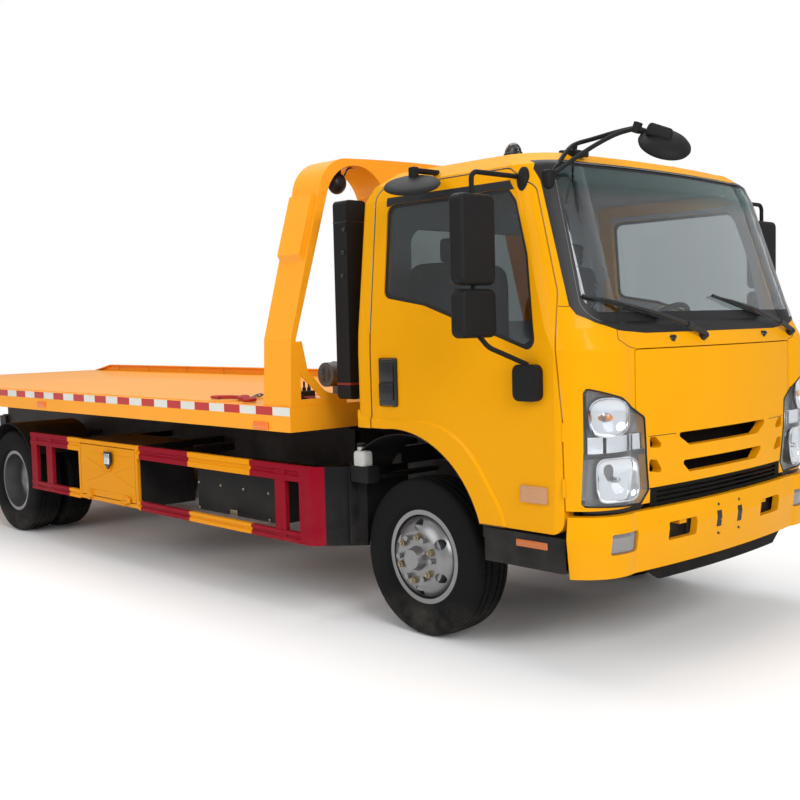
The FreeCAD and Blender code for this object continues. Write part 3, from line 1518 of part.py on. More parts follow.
def kerb_mirror():
    """A round mirror over the right door, on a short stem."""
    centre = V(kerb_mirror_x, -kerb_mirror_y, kerb_mirror_z)
    disc = rod(centre, centre - V(0, 0, kerb_mirror_wall), kerb_mirror_radius)
    stem = rod(centre, centre + V(0, kerb_mirror_radius * 2, kerb_mirror_wall * 2), mirror_tube)
    return fused([disc, stem]).cut(cab_form(-seat_gap, 0))


def look_down_mirror():
    """The domed mirror ahead of the windscreen's corner, on two tubes from the roof's edge."""
    centre = V(look_x, look_y, look_z)
    rim = look_radius - look_rim / 2
    top = look_rise * sin(radians(wheel_tilt))
    out = look_radius * cos(radians(wheel_tilt))
    places = [centre + V(look_radius, 0, 0), centre + V(out, 0, top), centre + V(0, 0, look_rise)]
    section = Part.Wire([Part.Arc(*places).toShape(), Part.makeLine(places[2], centre - V(0, 0, look_rim)),
                         Part.makeLine(centre - V(0, 0, look_rim), centre + V(rim, 0, -look_rim)),
                         Part.makeLine(centre + V(rim, 0, -look_rim), places[0])])
    dish = Part.Face(section).revolve(centre, V(0, 0, 1), 360)
    dish.rotate(centre, V(0, 1, 0), look_lean)
    elbow = V(*look_elbow)
    arms = []
    for root, step in ((look_root_high, mirror_tube), (look_root_low, -mirror_tube)):
        bend = elbow + V(0, 0, step)
        arms.append(bent_tube([V(*root), bend, centre + V(0, step, look_rise / 2)], mirror_tube, look_radius / 2))
    return fused([dish] + arms).cut(cab_form(-seat_gap, 0))


def bumper_form(inset):
    wires = []
    for level, set_back in ((bumper_low, bumper_tuck), (bumper_mid, 0), (bumper_high, bumper_tuck / 2)):
        half = cab_half_width - set_back / 2
        wires.append(cab_section(level, bumper_front - set_back, cab_rear, half, inset))
    return Part.makeLoft(wires, True, True)


def front_bumper():
    """Pressed bumper wrapped round the front, with its air holes, lamp seats and plate holes."""
    solid = bumper_form(0)
    inner = bumper_form(bumper_wall)
    wall = solid.cut([inner, box(cab_rear - overrun, bumper_rear, -cab_reach, cab_reach, 0, roof_height)])
    cuts = []
    for side in (-1, 1):
        for y0, y1, z0, z1 in ((bumper_hole_inner, bumper_hole_outer, bumper_hole_low, bumper_hole_high),
                               (fog_inner, fog_outer, fog_low, fog_high)):
            cuts.append(front_slab([(side * y0, z0), (side * y1, z0), (side * y1, z1), (side * y0, z1)],
                                   bumper_rear - overrun, bumper_front + overrun, slot_corner))
        for level in (-1, 1):
            spot = V(bumper_front - bumper_wall * 3, side * plate_hole_spacing_y / 2,
                     plate_hole_z + level * plate_hole_spacing_z / 2)
            cuts.append(rod(spot, spot + V(bumper_wall * 6, 0, 0), plate_hole_radius))
    reach = bumper_front - bumper_wall / 2 - cab_bow / 2
    brackets = []
    for side in (-1, 1):
        y = side * (rail_half_spacing - rail_flange / 2)
        brackets.append(box(rail_front + seat_gap, reach, y - bracket_half, y + bracket_half, bumper_mid,
                            bumper_mid + bracket_half * 2))
    return fused([wall.cut(cuts)] + brackets)


def fog_lamps():
    """A lamp filling each outer hole of the bumper."""
    lamp = bumper_form(slot_corner).cut(bumper_form(bumper_wall + slot_corner))
    y0 = -fog_outer + glass_gap
    y1 = -fog_inner - glass_gap
    z0 = fog_low + glass_gap
    z1 = fog_high - glass_gap
    seat = front_slab([(y0, z0), (y0, z1), (y1, z1), (y1, z0)], bumper_rear, bumper_front + overrun, slot_corner)
    return both(lamp.common(seat))


def radiator():
    """The dark core behind the grille, standing on the front cross member."""
    return box(radiator_x, radiator_x + radiator_wall, -radiator_half_width, radiator_half_width,
               rail_top + seat_gap, radiator_high)


def seats():
    """Driver's seat and the double passenger seat: cushions and backs on boxed bases."""
    pieces = []
    x1 = seat_rear + seat_depth
    inset = seat_base_inset
    floor = cab_floor + cab_floor_wall + seat_gap
    for y0, y1 in ((driver_y - driver_half, driver_y + driver_half), (-bench_outer, bench_inner)):
        cushion = box(seat_rear, x1, y0, y1, seat_low, seat_high)
        back = box(seat_rear, seat_rear + seat_back_wall, y0, y1, seat_high, seat_back_high)
        base = box(seat_rear + inset, x1 - inset, y0 + inset, y1 - inset, floor, seat_low)
        pieces.append(fused([cushion, back, base]))
    return Part.makeCompound(pieces)


def dashboard():
    """A moulded dashboard across the cab, standing on the floor."""
    outline = [(dash_front, dash_low), (dash_front, dash_high - dash_slope), (dash_rear + dash_slope, dash_high),
               (dash_rear, dash_high - dash_slope), (dash_rear + dash_slope, dash_low)]
    body = side_slab(outline, -dash_half, dash_half, dash_slope / 3)
    half = dash_half * dash_foot_share
    foot = box(dash_front - dash_slope * 3, dash_front - dash_slope, -half, half,
               cab_floor + cab_floor_wall + seat_gap, dash_low + dash_slope)
    return fused([body, foot]).common(cab_form(lamp_depth + move_gap, 0))


def steering_wheel():
    """Ring, three spokes, boss and the column down into the dashboard."""
    centre = V(wheel_x, driver_y, wheel_z)
    tilt = radians(wheel_tilt)
    axis = V(-sin(tilt), 0, cos(tilt))
    ring = Part.makeTorus(wheel_ring_radius, wheel_rim_radius, centre, axis)
    boss = rod(centre - axis * wheel_rim_radius * 2, centre + axis * wheel_rim_radius, column_radius * 2)
    spokes = []
    across = V(0, 1, 0)
    down = axis.cross(across)
    for direction in (across, across * -1, down):
        spokes.append(rod(centre, centre + direction * wheel_ring_radius, wheel_rim_radius * spoke_share))
    column = rod(centre, centre - axis * column_length, column_radius)
    return fused([ring, boss, column] + spokes).cut(dashboard())


def air_duct():
    """The tall intake duct behind the cab, rounded at its top, on a bracket from the rail."""
    y0 = duct_y - duct_half_width
    y1 = duct_y + duct_half_width
    x0 = duct_x - duct_half_depth
    x1 = duct_x + duct_half_depth
    outline = [(y0, duct_low), (y0, duct_high), (y1, duct_high), (y1, duct_low)]
    duct = front_slab(outline, x0, x1, duct_half_depth / 2)
    rail_edge = rail_flange - rail_half_spacing
    high = duct_low + duct_wall * 4
    arm = box(x0 + duct_wall, x1 - duct_wall, y1 - duct_wall, rail_edge, duct_low + duct_wall, high)
    post = box(x0 + duct_wall, x1 - duct_wall, -rail_half_spacing, rail_edge, rail_top + seat_gap, high)
    return fused([duct, arm, post])


def steps():
    """Entry step and side skirt below each door, hung from the rail."""
    face = -cab_half_width
    outer = box(step_rear, step_front, face, face + step_wall, step_low, step_high)
    tread = box(step_rear, step_front, face, -step_inner, step_low, step_low + step_wall)
    back = box(step_rear, step_front, -step_inner - step_wall, -step_inner, step_low, step_high)
    rail = -rail_half_spacing - seat_gap
    arms = [box(x, x + guard_arm, -step_inner, rail, step_high - guard_arm, step_high)
            for x in (step_rear + guard_arm, step_front - guard_arm * 2)]
    return both(fused([outer, tread, back] + arms))


def front_mudguards():
    """Half-round liners over the front tyres down to a foot behind them, hung from the rail."""
    centre = V(arch_centre_x, 0, arch_centre_z)
    y0 = V(0, -guard_arc_outer, 0)
    y1 = V(0, -guard_arc_inner, 0)
    hollow = rod(centre + y0 * 2, centre, guard_arc_radius - guard_arc_wall)
    ring = rod(centre + y0, centre + y1, guard_arc_radius).cut(hollow)
    left = arch_centre_x - guard_arc_radius
    right = arch_centre_x + guard_arc_radius
    keep = box(left, right, -guard_arc_outer, -guard_arc_inner, guard_top_high + move_gap, cab_floor)
    ahead = box(arch_centre_x, step_rear - move_gap, -guard_arc_outer, -guard_arc_inner, step_high, cab_floor)
    flap = box(left, arch_centre_x, -guard_arc_flap, -guard_arc_inner, guard_arc_foot, cab_floor)
    hook_z = arch_centre_z + guard_arc_radius * guard_hook_share
    rail_edge = rail_flange - rail_half_spacing
    arms = []
    for side in (-1, 1):
        x = arch_centre_x + side * guard_arc_radius * guard_arm_share
        arm = box(x - guard_arm / 2, x + guard_arm / 2, -guard_arc_inner - guard_arm, rail_edge,
                  rail_top + seat_gap, hook_z)
        arms.append(arm.cut(hollow.common(box(left, right, -cab_half_width, -guard_arc_inner, 0, roof_height))))
    return both(fused([ring.common(keep.fuse([ahead, flap]))] + arms))


def rear_mudguards():
    """Round guards over the rear pairs, on arms from the rail."""
    centre = V(-wheelbase, 0, tyre_radius)
    y0 = V(0, -rear_guard_outer, 0)
    y1 = V(0, -rear_guard_inner, 0)
    ring = rod(centre + y0, centre + y1, rear_guard_radius + rear_guard_wall)
    ring = ring.cut(rod(centre + y0 * 2, centre, rear_guard_radius))
    keep = box(-wheelbase - rear_guard_radius * 2, -wheelbase + rear_guard_radius * rear_guard_front_share,
               -rear_guard_outer, -rear_guard_inner, tyre_radius + rear_guard_radius * rear_guard_low_share,
               cab_floor)
    high = rail_top - guard_arm
    arms = []
    for side in (-1, 1):
        x = -wheelbase + side * rear_guard_radius * rear_arm_share
        arms.append(box(x - guard_arm / 2, x + guard_arm / 2, -rear_guard_inner - guard_arm,
                        -rail_half_spacing - seat_gap, high - guard_arm, high))
    return both(fused([ring.common(keep)] + arms))


def rear_lamp_bar():
    """Bar across the rear of the chassis, on two drop brackets, with the lamp housings."""
    high = lamp_bar_low + lamp_bar_height
    bar = box(lamp_bar_x - lamp_bar_depth, lamp_bar_x, -lamp_bar_half, lamp_bar_half, lamp_bar_low, high)
    pieces = [bar]
    for side in (-1, 1):
        y0 = side * (rail_half_spacing + seat_gap)
        y1 = side * (rail_half_spacing + seat_gap + lamp_bar_depth / 2)
        pieces.append(box(lamp_bar_x - lamp_bar_depth, lamp_bar_x + lamp_bar_depth, min(y0, y1), max(y0, y1),
                          lamp_bar_low, rail_top - rail_wall))
    return fused(pieces)


def tail_lamps():
    x1 = lamp_bar_x - lamp_bar_depth - seat_gap
    middle = lamp_bar_low + lamp_bar_height / 2
    y0 = -lamp_bar_half
    return both(box(x1 - tail_lamp_depth, x1, y0, y0 + tail_lamp_width, middle - tail_lamp_height / 2,
                    middle + tail_lamp_height / 2))


def front_x(y, z):
    """How far forward the cab's front stands at a side place and a level."""
    for i in range(len(cab_level_heights) - 1):
        low, high = cab_level_heights[i], cab_level_heights[i + 1]
        if z <= high:
            break
    share = (z - low) / (high - low)
    back = cab_front_setback[i] * (1 - share) + cab_front_setback[i + 1] * share
    half = cab_half_width - cab_side_setback[i] * (1 - share) - cab_side_setback[i + 1] * share
    return cab_front - back - cab_bow * (y / (half * cab_shoulder_share)) ** 2


def wipers():
    """Two arms with their blades on the windscreen and their pivots on the cowl."""
    sets = []
    for y in wiper_pivots:
        foot = V(front_x(y, wiper_z) + seat_gap, y, wiper_z)
        pivot = foot + V(wiper_lift, 0, 0)
        tip_y = y - wiper_length
        tip_z = wiper_z + wiper_rise
        tip = V(front_x(tip_y, tip_z) + wiper_lift, tip_y, tip_z)
        boss = rod(foot, pivot + V(wiper_radius, 0, 0), wiper_radius * 2)
        arm = rod(pivot, tip, wiper_radius)
        sets.append(fused([boss, arm]).cut(cab_form(-seat_gap, 0)))
    return Part.makeCompound(sets)


os.makedirs("parts", exist_ok=True)
skin = cab_skin()
right_door = door(skin)
pieces = {
    "chassis_frame": chassis_frame(),
    "subframe": subframe(),
    "engine_block": engine(),
    "drive_line": drive_line(),
    "radiator": radiator(),
    "front_axle": front_axle(),
    "rear_axle": rear_axle(),
    "fuel_tank": fuel_tank(),
    "battery_box": battery_box(),
    "silencer": silencer(),
    "side_guards": both(side_guard()),
    "toolbox_right": toolbox(),
    "toolbox_left": mirrored(toolbox()),
    "toolbox_door_right": toolbox_door(),
    "toolbox_door_left": mirrored(toolbox_door()),
    "cab_shell": cab_shell(skin),
    "front_panel": front_panel(skin),
    "lower_grille": lower_grille(),
    "headlamps": headlamps(),
    "front_bumper": front_bumper(),
    "fog_lamps": fog_lamps(),
    "windscreen": windscreen(),
    "rear_window": rear_window(),
    "seats": seats(),
    "dashboard": dashboard(),
    "steering_wheel": steering_wheel(),
    "look_down_mirror": look_down_mirror(),
    "kerb_mirror": kerb_mirror(),
    "wipers": wipers(),
    "air_duct": air_duct(),
    "steps": steps(),
    "front_mudguards": front_mudguards(),
    "rear_mudguards": rear_mudguards(),
    "rear_lamp_bar": rear_lamp_bar(),
    "tail_lamps": tail_lamps(),
    "door_right": right_door,
    "door_left": mirrored(right_door),
    "door_glass_right": door_glass(),
    "door_glass_left": mirrored(door_glass()),
    "mirrors_right": door_mirrors(),
    "mirrors_left": mirrored(door_mirrors()),
    "knuckle_right": knuckle(),
    "knuckle_left": mirrored(knuckle()),
    "rim_front_right": front_wheel(),
    "rim_front_left": mirrored(front_wheel()),
    "tyre_front_right": tyre(-front_tyre_y),
    "tyre_front_left": tyre(front_tyre_y),
    "rims_rear_right": rear_twin().translated(V(-wheelbase, 0, 0)),
    "rims_rear_left": mirrored(rear_twin()).translated(V(-wheelbase, 0, 0)),
    "tyres_rear_right": rear_tyres(),
    "tyres_rear_left": mirrored(rear_tyres()),
    "tilt_frame": tilt_frame(),
    "slide_barrel": slide_barrel(),
    "slide_rod": slide_rod(),
    "tilt_barrels": tilt_barrels(),
    "tilt_rods": tilt_rods(),
    "deck": deck(),
    "deck_curb": deck_curb(),
    "arch": arch(),
    "winch": winch(),
}
for name, shape in pieces.items():
    save(name, shape)
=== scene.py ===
from math import atan2, cos, pi, radians, sin, sqrt

import bmesh
import bpy
from mathutils import Matrix, Vector
from mathutils.bvhtree import BVHTree


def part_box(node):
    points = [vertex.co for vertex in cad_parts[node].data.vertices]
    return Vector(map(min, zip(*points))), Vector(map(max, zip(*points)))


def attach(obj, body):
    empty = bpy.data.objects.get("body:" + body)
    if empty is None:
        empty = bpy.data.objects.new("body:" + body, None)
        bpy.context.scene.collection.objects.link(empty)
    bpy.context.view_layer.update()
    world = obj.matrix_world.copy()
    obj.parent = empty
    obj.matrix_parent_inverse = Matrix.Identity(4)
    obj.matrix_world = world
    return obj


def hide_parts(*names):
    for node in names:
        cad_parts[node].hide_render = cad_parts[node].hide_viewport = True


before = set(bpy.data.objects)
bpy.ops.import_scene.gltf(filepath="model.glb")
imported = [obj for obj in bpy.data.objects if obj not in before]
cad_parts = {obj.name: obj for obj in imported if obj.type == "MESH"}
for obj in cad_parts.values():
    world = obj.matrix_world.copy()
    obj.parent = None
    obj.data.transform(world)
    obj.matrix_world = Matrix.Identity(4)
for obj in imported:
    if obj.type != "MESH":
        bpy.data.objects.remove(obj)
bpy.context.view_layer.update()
bpy.context.scene.view_settings.view_transform = "Standard"

# Viewpoint
# The truck is seen from its front right at a standing person's eye height, with a slightly long lens.
camera_data = bpy.data.cameras.new("viewpoint")
camera_data.lens = 48.645
camera_data.clip_end = 200
camera = bpy.data.objects.new("viewpoint", camera_data)
bpy.context.scene.collection.objects.link(camera)
view_yaw, view_pitch, view_roll = radians(43.47), radians(4.00), radians(-1.38)
ahead = Vector((-cos(view_yaw) * cos(view_pitch), sin(view_yaw) * cos(view_pitch), -sin(view_pitch)))
level_right = ahead.cross(Vector((0, 0, 1))).normalized()
level_up = level_right.cross(ahead)
view_right = level_right * cos(view_roll) + level_up * sin(view_roll)
view_up = level_up * cos(view_roll) - level_right * sin(view_roll)
turn = Matrix((view_right, view_up, -ahead)).transposed().to_4x4()
camera.matrix_world = Matrix.Translation((6.9765, -4.657, 1.556)) @ turn
bpy.context.scene.camera = camera

# Studio floor
# A wide pale sheet of paper under the truck. Far from the truck it goes over to the white of the room behind.
def add_node(tree, kind, sockets=(), **settings):
    """A shader node with its settings and the values of its sockets."""
    made = tree.nodes.new("ShaderNode" + kind)
    for name, value in settings.items():
        setattr(made, name, value)
    for socket, value in dict(sockets).items():
        made.inputs[socket].default_value = value
    return made


def wire(tree, *runs):
    """Joins outputs to inputs; each run names a node, its output, the next node and its input."""
    for source, output, target, entry in runs:
        tree.links.new(source.outputs[output], target.inputs[entry])


FLOOR_RADIUS, FADE_FROM, FADE_TO = 60, 5.5, 13.0
paper_mesh = bpy.data.meshes.new("studio_floor")
sheet = bmesh.new()
bmesh.ops.create_circle(sheet, cap_ends=True, segments=96, radius=FLOOR_RADIUS)
sheet.to_mesh(paper_mesh)
sheet.free()
paper = bpy.data.objects.new("studio_floor", paper_mesh)
bpy.context.scene.collection.objects.link(paper)
paper_finish = bpy.data.materials.new("studio_paper")
paper_finish.use_nodes = True
tree = paper_finish.node_tree
paper_shader = tree.nodes["Principled BSDF"]
paper_shader.inputs["Base Color"].default_value = (0.86, 0.86, 0.86, 1)
paper_shader.inputs["Roughness"].default_value = 0.9
paper_place = add_node(tree, "TexCoord")
paper_reach = add_node(tree, "VectorMath", operation="LENGTH")
paper_fade = add_node(tree, "MapRange", {"From Min": FADE_FROM, "From Max": FADE_TO})
paper_path = add_node(tree, "LightPath")
paper_seen = add_node(tree, "Math", operation="MAXIMUM")
paper_share = add_node(tree, "Math", operation="MULTIPLY")
paper_white = add_node(tree, "Emission", {"Strength": 1.0})
paper_mix = add_node(tree, "MixShader")
wire(tree, (paper_place, "Object", paper_reach, 0), (paper_reach, "Value", paper_fade, "Value"),
     (paper_path, "Is Camera Ray", paper_seen, 0), (paper_path, "Is Transmission Ray", paper_seen, 1),
     (paper_seen, "Value", paper_share, 0), (paper_fade, "Result", paper_share, 1),
     (paper_share, "Value", paper_mix, "Fac"), (paper_shader, "BSDF", paper_mix, 1),
     (paper_white, "Emission", paper_mix, 2), (paper_mix, "Shader", tree.nodes["Material Output"], "Surface"))
paper_mesh.materials.append(paper_finish)

# Studio light
# An even pale room, white where it is seen directly, and three large soft lamps: front, near side and above.
room = bpy.data.worlds.new("studio_room")
bpy.context.scene.world = room
room.use_nodes = True
tree = room.node_tree
for node in list(tree.nodes):
    tree.nodes.remove(node)
room_place = add_node(tree, "TexCoord")
room_split = add_node(tree, "SeparateXYZ")
room_scale = add_node(tree, "MapRange", {"From Min": -1.0, "From Max": 1.0})
room_ramp = add_node(tree, "ValToRGB")
low_stop, high_stop = room_ramp.color_ramp.elements
low_stop.position, low_stop.color = 0.42, (0.50, 0.50, 0.51, 1)
high_stop.position, high_stop.color = 0.62, (0.80, 0.81, 0.82, 1)
room_soft = add_node(tree, "Background", {"Strength": 0.72})
room_bright = add_node(tree, "Background", {"Color": (1, 1, 1, 1), "Strength": 1.0})
room_path = add_node(tree, "LightPath")
room_seen = add_node(tree, "Math", operation="MAXIMUM")
room_mix = add_node(tree, "MixShader")
room_out = add_node(tree, "OutputWorld")
wire(tree, (room_place, "Generated", room_split, "Vector"), (room_split, "Z", room_scale, "Value"),
     (room_scale, "Result", room_ramp, "Fac"), (room_ramp, "Color", room_soft, "Color"),
     (room_path, "Is Camera Ray", room_seen, 0), (room_path, "Is Transmission Ray", room_seen, 1),
     (room_seen, "Value", room_mix, "Fac"), (room_soft, "Background", room_mix, 1),
     (room_bright, "Background", room_mix, 2), (room_mix, "Shader", room_out, "Surface"))
for lamp_name, place, target, width, power in (
        ("lamp_front", (12.0, -3.5, 5.5), (3.5, 0, 1.2), 6.0, 700),
        ("lamp_near_side", (1.0, -11.0, 6.5), (0.5, 0, 1.0), 8.0, 400),
        ("lamp_above", (0.0, 1.0, 9.0), (0, 0, 1.0), 9.0, 580)):
    lamp_data = bpy.data.lights.new(lamp_name, "AREA")
    lamp_data.shape = "DISK"
    lamp_data.size = width
    lamp_data.energy = power
    lamp = bpy.data.objects.new(lamp_name, lamp_data)
    lamp.location = place
    lamp.rotation_euler = (Vector(target) - Vector(place)).to_track_quat("-Z", "Y").to_euler()
    bpy.context.scene.collection.objects.link(lamp)

# Chassis frame and fixed subframe
# Two pressed steel channels with box cross members, and the box rails bolted on them under the tilting frame.
# Dipped in satin black chassis paint that road dust greys from below.
def new_group(name, inputs, outputs):
    """A shader group with its input and output nodes."""
    group = bpy.data.node_groups.new(name, "ShaderNodeTree")
    for label, kind, value in inputs:
        socket = group.interface.new_socket(name=label, in_out="INPUT", socket_type=kind)
        socket.default_value = value
    for label, kind in outputs:
        group.interface.new_socket(name=label, in_out="OUTPUT", socket_type=kind)
    return group, group.nodes.new("NodeGroupInput"), group.nodes.new("NodeGroupOutput")


road_dust, dust_in, dust_out = new_group("road_dust", [
    ("Top", "NodeSocketFloat", 0.9), ("Amount", "NodeSocketFloat", 0.4), ("Size", "NodeSocketFloat", 5.0)],
    [("Mask", "NodeSocketFloat")])
dust_place = add_node(road_dust, "TexCoord")
dust_split = add_node(road_dust, "SeparateXYZ")
dust_fall = add_node(road_dust, "MapRange", {"From Max": 0.1})
dust_cloud = add_node(road_dust, "TexNoise", {"Detail": 8.0, "Roughness": 0.65})
dust_break = add_node(road_dust, "MapRange", {"From Min": 0.35, "From Max": 0.72})
dust_both = add_node(road_dust, "Math", operation="MULTIPLY")
dust_total = add_node(road_dust, "Math", operation="MULTIPLY")
wire(road_dust, (dust_place, "Object", dust_split, "Vector"), (dust_split, "Z", dust_fall, "Value"),
     (dust_in, "Top", dust_fall, "From Min"), (dust_place, "Object", dust_cloud, "Vector"),
     (dust_in, "Size", dust_cloud, "Scale"), (dust_cloud, "Fac", dust_break, "Value"),
     (dust_fall, "Result", dust_both, 0), (dust_break, "Result", dust_both, 1), (dust_both, "Value", dust_total, 0),
     (dust_in, "Amount", dust_total, 1), (dust_total, "Value", dust_out, "Mask"))

surface_grain, grain_in, grain_out = new_group(
    "surface_grain", [("Size", "NodeSocketFloat", 400.0), ("Depth", "NodeSocketFloat", 0.2)],
    [("Normal", "NodeSocketVector")])
grain_place = add_node(surface_grain, "TexCoord")
grain_noise = add_node(surface_grain, "TexNoise", {"Detail": 4.0})
grain_bump = add_node(surface_grain, "Bump", {"Distance": 0.002})
wire(surface_grain, (grain_place, "Object", grain_noise, "Vector"), (grain_in, "Size", grain_noise, "Scale"),
     (grain_noise, "Fac", grain_bump, "Height"), (grain_in, "Depth", grain_bump, "Strength"),
     (grain_bump, "Normal", grain_out, "Normal"))


def coloured(name, colour, rough, grain=(400.0, 0.15), dust=(0.9, 0.3, 5.0), metal=0.0, coat=0.0, vary=0.12,
             gloss=0.25):
    """A finish of one colour that varies a little, with its grain and the dust on it."""
    finish = bpy.data.materials.new(name)
    finish.use_nodes = True
    tree = finish.node_tree
    shader = tree.nodes["Principled BSDF"]
    for socket, value in (("Metallic", metal), ("Specular IOR Level", 0.5 if metal else gloss), ("Coat Weight", coat),
                          ("Coat Roughness", 0.05)):
        shader.inputs[socket].default_value = value
    fine = add_node(tree, "Group", node_tree=surface_grain)
    fine.inputs["Size"].default_value, fine.inputs["Depth"].default_value = grain
    dirt = add_node(tree, "Group", node_tree=road_dust)
    dirt.inputs["Top"].default_value, dirt.inputs["Amount"].default_value, dirt.inputs["Size"].default_value = dust
    shade = add_node(tree, "Mix", data_type="RGBA")
    shade.inputs["A"].default_value = (*[c * (1 - vary) for c in colour], 1)
    shade.inputs["B"].default_value = (*[min(1, c * (1 + vary)) for c in colour], 1)
    cloud = add_node(tree, "TexNoise", {"Scale": 1.7, "Detail": 5.0})
    place = add_node(tree, "TexCoord")
    dusty = add_node(tree, "Mix", name="dust_over", data_type="RGBA")
    dusty.inputs["B"].default_value = (0.30, 0.26, 0.21, 1)
    dull = add_node(tree, "MapRange", {"To Min": rough, "To Max": 0.85})
    wire(tree, (place, "Object", cloud, "Vector"), (cloud, "Fac", shade, "Factor"), (shade, "Result", dusty, "A"),
         (dirt, "Mask", dusty, "Factor"), (dirt, "Mask", dull, "Value"), (dull, "Result", shader, "Roughness"),
         (dusty, "Result", shader, "Base Color"), (fine, "Normal", shader, "Normal"))
    return finish


def dress(finish, *names):
    """The finish goes on each named CAD node."""
    for name in names:
        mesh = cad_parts[name].data
        for i in range(len(mesh.materials)):
            mesh.materials[i] = finish
        if not mesh.materials:
            mesh.materials.append(finish)


dress(coloured("chassis_black", (0.014, 0.014, 0.015), 0.45, grain=(260, 0.2), dust=(1.0, 0.45, 4.0)),
      "chassis_frame", "subframe", "rear_lamp_bar")

# Axles, springs and steering knuckles
# Forged beam, banjo axle and leaf packs, in a rough black that has gone brown-grey with dust.
dress(coloured("forged_dark", (0.030, 0.027, 0.024), 0.62, grain=(140, 0.5), dust=(0.8, 0.6, 7.0)),
      "front_axle", "rear_axle", "knuckle_right", "knuckle_left", "engine_block", "drive_line")

# Tank, battery box and silencer
# A brushed aluminium fuel tank, a moulded black battery box and an aluminised steel silencer, all hung from the rails.
dress(coloured("tank_aluminium", (0.30, 0.305, 0.31), 0.38, grain=(90, 0.08), dust=(0.8, 0.4, 6.0), metal=0.9),
      "fuel_tank")
dress(coloured("box_plastic", (0.009, 0.009, 0.0095), 0.55, grain=(900, 0.4), dust=(0.8, 0.14, 5.0), gloss=0.12),
      "battery_box")
dress(coloured("exhaust_steel", (0.20, 0.19, 0.18), 0.5, grain=(120, 0.3), dust=(0.8, 0.5, 5.0), metal=0.8),
      "silencer")

# Tyres
# Moulded rubber, 0.80 m over the tread: four round grooves, cross sipes in the ribs, a rounded shoulder and a plain
# wall with a raised rim strip.
def piece(name, shape, body, finish, sharp=35):
    """A finished bmesh becomes an object that rides on a body."""
    mesh = bpy.data.meshes.new(name)
    shape.to_mesh(mesh)
    shape.free()
    for face in mesh.polygons:
        face.use_smooth = True
    mesh.set_sharp_from_angle(angle=radians(sharp))
    obj = bpy.data.objects.new(name, mesh)
    bpy.context.scene.collection.objects.link(obj)
    mesh.materials.append(finish)
    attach(obj, body)
    return obj


def join(shape, part):
    """Adds one finished bmesh to another."""
    holder = bpy.data.meshes.new("holder")
    part.to_mesh(holder)
    part.free()
    shape.from_mesh(holder)
    bpy.data.meshes.remove(holder)


FRONT_AXLE_X, REAR_AXLE_X, AXLE_Z = 3.1825, -1.2925, 0.398
SIDES = ((-1, "right"), (1, "left"))
tyre_rubber = coloured("tyre_rubber", (0.007, 0.007, 0.0072), 0.72, grain=(420, 0.25), dust=(0.22, 0.12, 9.0),
                       gloss=0.08)
tyre_tree = tyre_rubber.node_tree
tyre_map = add_node(tyre_tree, "UVMap", uv_map="tread")
tyre_split = add_node(tyre_tree, "SeparateXYZ")
sipe_wave = add_node(tyre_tree, "Math", {1: 0.5}, operation="PINGPONG")
sipe_cut = add_node(tyre_tree, "MapRange", {"From Min": 0.03, "From Max": 0.10})
sipe_band = add_node(tyre_tree, "Math", {1: 1.0}, operation="LESS_THAN")
sipe_keep = add_node(tyre_tree, "Math", operation="MAXIMUM")
sipe_off = add_node(tyre_tree, "Math", {0: 1.0}, operation="SUBTRACT")
sipe_bump = add_node(tyre_tree, "Bump", {"Strength": 0.9, "Distance": 0.006})
tyre_grain = next(n for n in tyre_tree.nodes if n.type == "GROUP" and n.node_tree == surface_grain)
wire(tyre_tree, (tyre_map, "UV", tyre_split, "Vector"), (tyre_split, "X", sipe_wave, 0),
     (sipe_wave, "Value", sipe_cut, "Value"), (tyre_split, "Y", sipe_band, 0), (sipe_band, "Value", sipe_off, 1),
     (sipe_cut, "Result", sipe_keep, 0), (sipe_off, "Value", sipe_keep, 1), (sipe_keep, "Value", sipe_bump, "Height"),
     (tyre_grain, "Normal", sipe_bump, "Normal"),
     (sipe_bump, "Normal", tyre_tree.nodes["Principled BSDF"], "Normal"))
# half section from the tread's middle to the bead: radius, distance from the middle plane
tyre_half = ((0.3975, 0.0), (0.3974, 0.020), (0.389, 0.0225), (0.389, 0.0305), (0.3970, 0.033), (0.3962, 0.058),
             (0.388, 0.0605), (0.388, 0.0685), (0.3952, 0.071), (0.392, 0.092), (0.384, 0.1035), (0.372, 0.1085),
             (0.352, 0.1135), (0.330, 0.1168), (0.300, 0.1172), (0.276, 0.1150), (0.262, 0.1105), (0.2585, 0.1112),
             (0.2555, 0.1085), (0.248, 0.1040), (0.240, 0.0945), (0.236, 0.0925), (0.228, 0.086))
BEAD = (0.2235, 0.084)
GROOVED_ABOVE, TREAD_REPEATS = 0.3935, 64


def tyre_shape(shape, centre):
    """One tyre turned about its axle's line."""
    half = (*tyre_half, BEAD)
    section = [*reversed(half), *((r, -y) for r, y in half[1:])]
    row = [shape.verts.new((centre[0], centre[1] + y, centre[2] + r)) for r, y in section]
    edges = [shape.edges.new((a, b)) for a, b in zip(row, row[1:])]
    bmesh.ops.spin(shape, geom=row + edges, cent=centre, axis=(0, 1, 0), angle=2 * pi, steps=96, use_merge=True)
    grid = shape.loops.layers.uv.get("tread") or shape.loops.layers.uv.new("tread")
    for face in shape.faces:
        middle = face.calc_center_median() - Vector(centre)
        turn_share = atan2(middle.x, middle.z) / (2 * pi)
        for loop in face.loops:
            spot = loop.vert.co - Vector(centre)
            share = atan2(spot.x, spot.z) / (2 * pi)
            if share - turn_share > 0.5:
                share -= 1
            if turn_share - share > 0.5:
                share += 1
            radius = sqrt(spot.x ** 2 + spot.z ** 2)
            loop[grid].uv = (share * TREAD_REPEATS, 0.5 if radius > GROOVED_ABOVE else 1.5)


